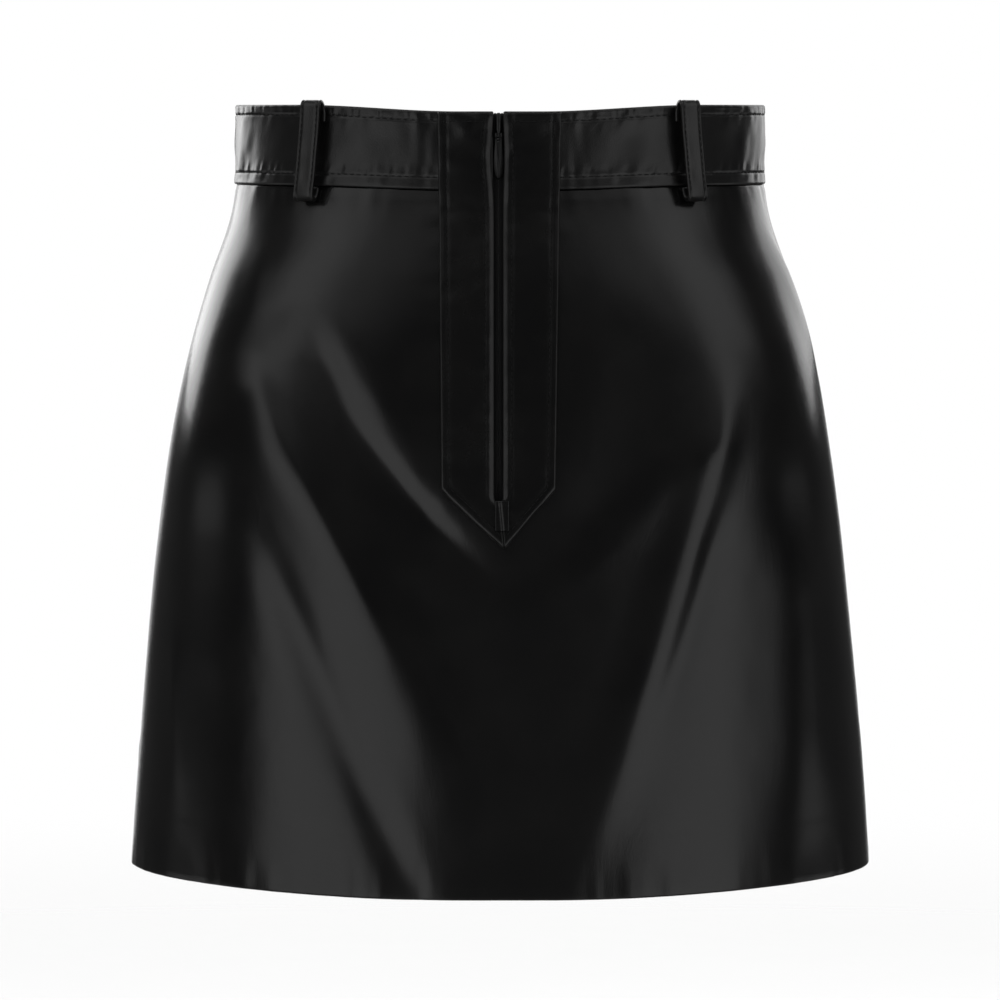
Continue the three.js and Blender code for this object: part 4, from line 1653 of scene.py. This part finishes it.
@dataclass
class Slider(SubAssembly):
    """The slider at the top of the zip, with its lug and pin in the slit."""

    pin_z: float = 0.0053
    pin_out: float = 0.0013
    pin_radius: float = 0.00045
    pin_half: float = 0.0016
    plate_bottom: float = 0.0064
    plate_wide: float = 0.0034
    plate_narrow: float = 0.0021
    stem_half: float = 0.0008
    stem_z: tuple[float, float] = (0.0080, 0.0150)

    def build(self) -> bpy.types.Object:
        """Builds the slider's two plates, stem, lug and pin as one piece.

        Returns:
            The piece.
        """
        low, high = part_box("zip_slider")
        pin_y = float(FORM.point(0.0, self.pin_z)[1]) - self.pin_out
        x = FORM.slit_x
        top, bottom = high[2], self.plate_bottom
        wide, narrow = self.plate_wide, self.plate_narrow
        outline = np.array(
            [
                (x - narrow, bottom),
                (x + narrow, bottom),
                (x + narrow * 1.15, bottom + 0.0032),
                (x + wide, bottom + 0.0062),
                (x + wide * 0.96, top - 0.0012),
                (x + wide * 0.5, top - 0.0001),
                (x, top - 0.0009),
                (x - wide * 0.5, top - 0.0001),
                (x - wide * 0.96, top - 0.0012),
                (x - wide, bottom + 0.0062),
                (x - narrow * 1.15, bottom + 0.0032),
            ]
        )
        back_y = high[1]
        parts = [
            plate(outline, back_y - 0.0030, back_y - 0.0021, 0.0002),
            plate(outline, back_y - 0.0009, back_y, 0.0002),
        ]
        stem_low, stem_high = self.stem_z
        stem = np.array(
            [
                (x - self.stem_half, stem_low),
                (x + self.stem_half, stem_low),
                (x + self.stem_half, stem_high),
                (x - self.stem_half, stem_high),
            ]
        )
        parts.append(plate(stem, pin_y, back_y - 0.0004, 0.0001))
        lug = np.array(
            [
                (x - 0.0006, self.pin_z - 0.0004),
                (x + 0.0006, self.pin_z - 0.0004),
                (x + 0.0006, self.pin_z + 0.0019),
                (x + 0.0010, self.pin_z + 0.0024),
                (x + 0.0010, top - 0.0006),
                (x + 0.0005, top - 0.0001),
                (x - 0.0005, top - 0.0001),
                (x - 0.0010, top - 0.0006),
                (x - 0.0010, self.pin_z + 0.0024),
                (x - 0.0006, self.pin_z + 0.0019),
            ]
        )
        parts.append(plate(lug, low[1] + 0.00025, low[1] + 0.0014, 0.00018))
        parts.append(rod(0.00075, x - 0.0006, x + 0.0006, (pin_y, self.pin_z)))
        parts.append(rod(self.pin_radius, x - self.pin_half, x + self.pin_half, (pin_y, self.pin_z)))
        return self.wear(make_object("slider", *joined(parts)), LACQUER, "zip_metal", "zip_slider")


@dataclass
class Pull(SubAssembly):
    """The drop-shaped tab that hangs from the slider's pin."""

    body: str = PULL_BODY
    pin_z: float = 0.0053
    pin_out: float = 0.0013
    thick: float = 0.0009
    cheek: float = 0.0009
    knuckle: float = 0.00135
    knuckle_half: float = 0.0016
    slot_depth: float = 0.0029
    half_outline: tuple = (
        (0.00160, 0.0010),
        (0.00175, 0.0040),
        (0.00215, 0.0090),
        (0.00235, 0.0140),
        (0.00175, 0.0184),
        (0.00020, 0.0204),
    )

    def build(self) -> bpy.types.Object:
        """Builds the tab with its two knuckles round the pin.

        Returns:
            The piece.
        """
        x = FORM.slit_x
        pin_y = float(FORM.point(0.0, self.pin_z)[1]) - self.pin_out
        side = smooth_path(self.half_outline, 26)
        right = np.stack([x + side[:, 0], self.pin_z - side[:, 1]], axis=-1)[::-1]
        left = np.stack([x - side[:, 0], self.pin_z - side[:, 1]], axis=-1)
        slot_right = (x + self.cheek, self.pin_z - 0.0010)
        slot_low_right = (x + self.cheek * 0.9, self.pin_z - self.slot_depth)
        slot_low_left = (x - self.cheek * 0.9, self.pin_z - self.slot_depth)
        slot_left = (x - self.cheek, self.pin_z - 0.0010)
        outline = np.concatenate([right, [slot_right, slot_low_right, slot_low_left, slot_left], left])
        inset, half = 0.0002, self.thick / 2
        narrowed = np.sign(outline[:, 0] - x) * np.minimum(inset, np.abs(outline[:, 0] - x))
        drawn = np.stack([outline[:, 0] - narrowed, outline[:, 1]], axis=-1)
        levels = ((drawn, -half), (outline, -half + inset), (outline, half - inset), (drawn, half))
        loops = [
            np.stack([ring[:, 0], np.full(len(ring), pin_y + y), ring[:, 1]], axis=-1)
            for ring, y in levels
        ]
        parts = [loft_faces(np.array(loops)[:, ::-1])]
        centre = (pin_y, self.pin_z)
        for start, end in ((-self.knuckle_half, -self.cheek), (self.cheek, self.knuckle_half)):
            parts.append(self.collar(x + start, x + end, centre))
        return self.wear(make_object("pull_tab", *joined(parts)), LACQUER, "zip_metal", "zip_pull")

    def collar(self, from_x: float, to_x: float, centre: tuple[float, float]) -> tuple[Grid, list]:
        """A knuckle: a ring round the pin.

        Args:
            from_x: where it starts.
            to_x: where it ends.
            centre: the pin's Y and Z.

        Returns:
            Its points and faces.
        """
        angles = np.linspace(0.0, 2.0 * np.pi, 24, endpoint=False)
        bore, rim = 0.0008, self.knuckle
        soft = 0.00012
        section = (
            (from_x + soft, rim),
            (to_x - soft, rim),
            (to_x, rim - soft),
            (to_x, bore),
            (from_x, bore),
            (from_x, rim - soft),
        )
        loops = [
            [(x, centre[0] + r * math.cos(angle), centre[1] + r * math.sin(angle)) for x, r in section]
            for angle in angles
        ]
        return loft_faces(np.array(loops)[::-1], closed=True)


@dataclass
class BeltLoops(SubAssembly):
    """Five folded straps that stand off the waistband."""

    width: float = 0.0105
    thick: float = 0.0020
    lean: float = 0.9
    twist: float = 0.90
    bend_from: float = 0.0145
    back_bend: float = 0.55
    edge_stitch: float = 0.0014
    stations: int = 90
    places: tuple = (
        ("front_left", -49.4),
        ("front_right", 49.6),
        ("back_left", -131.4),
        ("back_right", 131.4),
        ("back_centre", 180.0),
    )
    path: tuple = (
        (0.0021, 0.0120),
        (0.0021, 0.0150),
        (0.0024, 0.0172),
        (0.0038, 0.0196),
        (0.0058, 0.0213),
        (0.0075, 0.0206),
        (0.0082, 0.0170),
        (0.0084, 0.0000),
        (0.0080, -0.0150),
        (0.0074, -0.0218),
        (0.0060, -0.0243),
        (0.0040, -0.0249),
        (0.0025, -0.0238),
        (0.0021, -0.0214),
        (0.0021, -0.0196),
    )

    def section(self) -> Grid:
        """The strap's cross-section: across and out, against the clock from its end.

        Returns:
            Two columns: across the strap, and out of its middle line.
        """
        half, deep = self.width / 2, self.thick / 2
        face = np.linspace(-1, 1, 31) * half
        back = np.linspace(0.97, -0.97, 15) * half
        from_rim = half - np.abs(face)
        rim = np.clip(from_rim / 0.0005, 0.0, 1.0)
        outer = deep * np.sqrt(1.0 - (1.0 - rim) ** 2)
        outer -= 0.22 * MM * bump_of(from_rim - self.edge_stitch, 0.0005)
        outer += 0.10 * MM * bump_of(from_rim - 0.0006, 0.0004)
        drawn = np.clip((np.abs(back) - half + 0.0006) / 0.0006, 0, 1)
        inner = -deep * np.sqrt(np.clip(1.0 - drawn**2, 0.02, 1))
        return np.stack([np.concatenate([face, back]), np.concatenate([outer, inner])], axis=-1)

    def frames(self, bearing: float) -> tuple[Grid, Grid, Grid]:
        """The strap's middle line, its outward and sideways directions, for one place.

        Args:
            bearing: the loop's bearing in degrees.

        Returns:
            Points and two unit directions, a row for each station.
        """
        line = smooth_path(self.path, self.stations)
        if 90.0 < abs(bearing) < 180.0:
            line[:, 1] -= np.maximum(line[:, 1] - self.bend_from, 0.0) * (1.0 - self.back_bend)
        along = np.gradient(line, axis=0)
        along /= np.linalg.norm(along, axis=1, keepdims=True)
        z = line[:, 1]
        angle = math.radians(bearing)
        sign = np.sign(math.sin(angle)) * np.sign(math.cos(angle))
        lean = 0.0 if abs(bearing) == 180.0 else self.lean * sign
        here = bearing + lean * ease(0.020, -0.026, z)
        facing = FORM.normal(here if abs(bearing) > 90 else here * self.twist, 0.0 * z)
        facing[:, 2] = 0.0
        facing /= np.linalg.norm(facing, axis=1, keepdims=True)
        sideways = np.stack([-facing[:, 1], facing[:, 0], 0 * z], axis=-1)
        drop = FORM.waist_top - FORM.top_edge(bearing)
        foot = FORM.point(here, z - drop)
        centre = foot + facing * line[:, :1]
        up = np.zeros((len(z), 3))
        up[:, 2] = 1.0
        outward = facing * (-along[:, 1:]) + up * along[:, :1]
        return centre, outward, sideways

    def loop(self, name: str, bearing: float) -> list[bpy.types.Object]:
        """One belt loop and its stitching.

        Args:
            name: the loop's name.
            bearing: its bearing in degrees.

        Returns:
            Both pieces.
        """
        centre, outward, sideways = self.frames(bearing)
        section = self.section()
        station = np.arange(self.stations)[:, None]
        wobble = lattice_noise(station / 9.0, section[None, :, 0] / 0.004, 53) * 0.10 * MM
        loops = (
            centre[:, None]
            + sideways[:, None] * section[None, :, :1]
            + outward[:, None] * (section[None, :, 1] + wobble * (section[None, :, 1] > 0))[..., None]
        )
        edge = bump_of(self.width / 2 - np.abs(section[:, 0]), 0.0007)
        wear = np.repeat(0.4 * edge[None, :], self.stations, axis=0)
        strap = self.wear(loft(f"loop_{name}", loops, wear), LIT_LOOP_LEATHER, "leather", f"belt_loop_{name}")
        parts = []
        for side in Side:
            line = centre + sideways * side.value * (self.width / 2 - self.edge_stitch)
            line = line + outward * (self.thick / 2 - 0.00018)
            parts += FINE_STITCH.run(line[8:-16], outward[8:-16])
        stitches = self.sewing(f"loop_stitches_{name}", parts)
        return [strap, stitches]

    def rests(self, bearing: float) -> str:
        """The strap of the waistband that carries a loop.

        Args:
            bearing: the loop's bearing in degrees.

        Returns:
            The strap's name.
        """
        if abs(bearing) > 90:
            return "waistband_leather_back"
        return "waistband_leather_left" if bearing < 0 else "waistband_leather_right"

    def build(self) -> list[bpy.types.Object]:
        """Builds all the loops."""
        return [piece for name, bearing in self.places for piece in self.loop(name, bearing)]


@dataclass(frozen=True)
class Glow:
    """A soft-edged bright patch of the air, mirrored about a line just right of the camera.

    Turns are degrees from that line round to the back, rises degrees over level.
    """

    strength: float
    turn_from: float
    turn_to: float
    turn_soft: float
    rise_from: float
    rise_to: float
    rise_soft: float

    def seen_from(self, turn: Value, rise: Value) -> Value:
        """The patch's brightness in each direction.

        Args:
            turn: degrees from the mirror line.
            rise: degrees over level.

        Returns:
            The brightness.
        """
        starts = turn.step(self.turn_from - self.turn_soft, self.turn_from + self.turn_soft)
        ends = turn.step(self.turn_to + self.turn_soft, self.turn_to - self.turn_soft)
        lower = rise.step(self.rise_from - self.rise_soft, self.rise_from + self.rise_soft)
        upper = rise.step(self.rise_to + self.rise_soft, self.rise_to - self.rise_soft)
        return starts * ends * lower * upper * self.strength


@dataclass
class Studio:
    """The camera, a pale floor and soft light from both sides."""

    distance: float = 3.0
    eye_height: float = 0.012
    aim_height: float = -0.1735
    frame_width: float = 0.490
    sensor: float = 36.0
    floor_gap: float = 0.25
    floor_radius: float = 3.5
    overhead_power: float = 130.0
    dim: float = 0.046
    glow_skew: float = 2.5
    glows: tuple = (
        Glow(0.70, 24.0, 61.0, 5.0, -40.0, 7.0, 4.0),
        Glow(0.05, -40.0, 26.0, 8.0, -40.0, 5.0, 4.0),
        Glow(0.62, 42.0, 62.0, 6.0, 7.0, 20.0, 5.0),
        Glow(0.26, 12.0, 84.0, 12.0, 20.0, 120.0, 6.0),
        Glow(0.40, 44.0, 80.0, 12.0, 20.0, 120.0, 6.0),
        Glow(0.40, 86.0, 112.0, 6.0, -40.0, -5.0, 3.0),
        Glow(0.95, 166.0, 200.0, 6.0, -120.0, 120.0, 1.0),
    )
    rim_turn: dict[Side, float] = field(default_factory=lambda: {Side.LEFT: 137.0, Side.RIGHT: 143.0})
    rim_distance: float = 1.0
    rim_width: float = 0.62
    rim_height: float = 1.1
    rim_foot: float = -0.06
    rim_power: dict[Side, float] = field(default_factory=lambda: {Side.LEFT: 5.2, Side.RIGHT: 2.5})

    def build(self) -> None:
        """Sets up the whole studio."""
        self.camera()
        self.floor()
        self.surround()
        self.overhead()
        for side in Side:
            self.rim(side)
        view = bpy.context.scene.view_settings
        view.view_transform = "Standard"
        view.look = "None"

    def camera(self) -> None:
        """A long lens in front of the skirt, a little above its waist."""
        data = bpy.data.cameras.new("camera")
        data.sensor_width = self.sensor
        data.lens = self.sensor * self.distance / self.frame_width
        data.clip_end = 50.0
        eye = bpy.data.objects.new("camera", data)
        eye.location = (0.0, -self.distance, self.eye_height)
        aim = Vector((0.0, 0.0, self.aim_height)) - eye.location
        eye.rotation_euler = aim.to_track_quat("-Z", "Y").to_euler()
        bpy.context.scene.collection.objects.link(eye)
        bpy.context.scene.camera = eye

    def floor(self) -> None:
        """A pale disc just below the hem that fades out at its rim."""
        rings, sides = 24, 96
        radii = np.linspace(0.02, self.floor_radius, rings)
        angles = np.linspace(0.0, 2.0 * np.pi, sides, endpoint=False)
        z = FORM.hem - FORM.hem_drop - self.floor_gap
        points = [(r * math.cos(a), r * math.sin(a), z) for r in radii for a in angles]
        faces = []
        for inner in range(0, (rings - 1) * sides, sides):
            outer = inner + sides
            for j in range(sides):
                after = (j + 1) % sides
                faces.append((inner + j, outer + j, outer + after, inner + after))
        faces.append(tuple(range(sides)))
        disc = make_object("studio_floor", np.array(points), faces)
        made = bpy.data.materials.new("pale_floor")
        made.use_nodes = True
        shader = Shader(made.node_tree)
        place = shader.place()
        mottle = shader.noise(place, 14.0, 2.0)
        colour = shader.blend(mottle, (0.93, 0.93, 0.93), (0.95, 0.95, 0.95))
        inputs = {"Base Color": colour, "Roughness": 0.9}
        surface = shader.node("ShaderNodeBsdfPrincipled", None, inputs)
        clear = shader.node("ShaderNodeBsdfTransparent")
        distance = shader.value("ShaderNodeVectorMath", "Value", {"operation": "LENGTH"}, {0: place})
        fade = distance.step(0.5, 2.6)
        inputs = {0: fade, 1: surface.outputs[0], 2: clear.outputs[0]}
        faded = shader.node("ShaderNodeMixShader", None, inputs)
        shader.node("ShaderNodeOutputMaterial", None, {"Surface": faded.outputs[0]})
        disc.data.materials.append(made)
        disc.visible_glossy = False

    def surround(self) -> None:
        """Air that lights the skirt as the studio does, and is white where the camera sees it."""
        world = bpy.data.worlds.new("studio_air")
        bpy.context.scene.world = world
        world.use_nodes = True
        shader = Shader(world.node_tree)
        way = shader.node("ShaderNodeTexCoord").outputs["Generated"]
        parts = shader.node("ShaderNodeSeparateXYZ", None, {"Vector": way})
        across, along, up = (Value(shader, parts.outputs[axis]) for axis in "XYZ")
        azimuth = across.math("ARCTAN2", along * -1.0) * (180.0 / math.pi)
        turn = (azimuth - self.glow_skew).math("ABSOLUTE")
        rise = up.math("ARCSINE") * (180.0 / math.pi)
        air = self.dim
        for glow in self.glows:
            air = glow.seen_from(turn, rise) + air
        seen = shader.value("ShaderNodeLightPath", "Is Camera Ray")
        strength = seen + (1.0 - seen) * air
        inputs = {"Color": (1, 1, 1, 1), "Strength": strength}
        sky = shader.node("ShaderNodeBackground", None, inputs)
        shader.node("ShaderNodeOutputWorld", None, {"Surface": sky.outputs[0]})

    def rim(self, side: Side) -> None:
        """A tall soft box behind one side, which lights the skirt's outline above the hips.

        Args:
            side: which side it stands behind.
        """
        data = bpy.data.lights.new(f"rim_{side.name.lower()}", "AREA")
        data.shape = "RECTANGLE"
        data.size = self.rim_width
        data.size_y = self.rim_height
        data.energy = self.rim_power[side]
        lamp = bpy.data.objects.new(data.name, data)
        turn = math.radians(self.rim_turn[side])
        away = Vector((side.value * math.sin(turn), -math.cos(turn), 0.0))
        lamp.location = away * self.rim_distance + Vector((0.0, 0.0, self.rim_foot + self.rim_height / 2))
        lamp.rotation_euler = (-away).to_track_quat("-Z", "Y").to_euler()
        lamp.visible_camera = False
        bpy.context.scene.collection.objects.link(lamp)

    def overhead(self) -> None:
        """A wide soft lamp above that whitens the floor."""
        data = bpy.data.lights.new("overhead", "AREA")
        data.shape = "DISK"
        data.size = 4.0
        data.energy = self.overhead_power
        lamp = bpy.data.objects.new(data.name, data)
        lamp.location = (0.0, 0.0, 2.6)
        lamp.visible_camera = False
        lamp.visible_glossy = False
        bpy.context.scene.collection.objects.link(lamp)


def main() -> None:
    """Builds the studio and the skirt."""
    logging.basicConfig(level=logging.INFO, format="%(message)s")
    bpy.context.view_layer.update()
    Studio().build()
    assemblies = (Waistband(), Panels(), Placket(), Zip(), Pull(), BeltLoops())
    for assembly in assemblies:
        made = assembly.build()
        count = len(made) if isinstance(made, list) else 1
        LOG.info("%s: %d pieces", type(assembly).__name__, count)


if __name__ == "__main__":
    main()
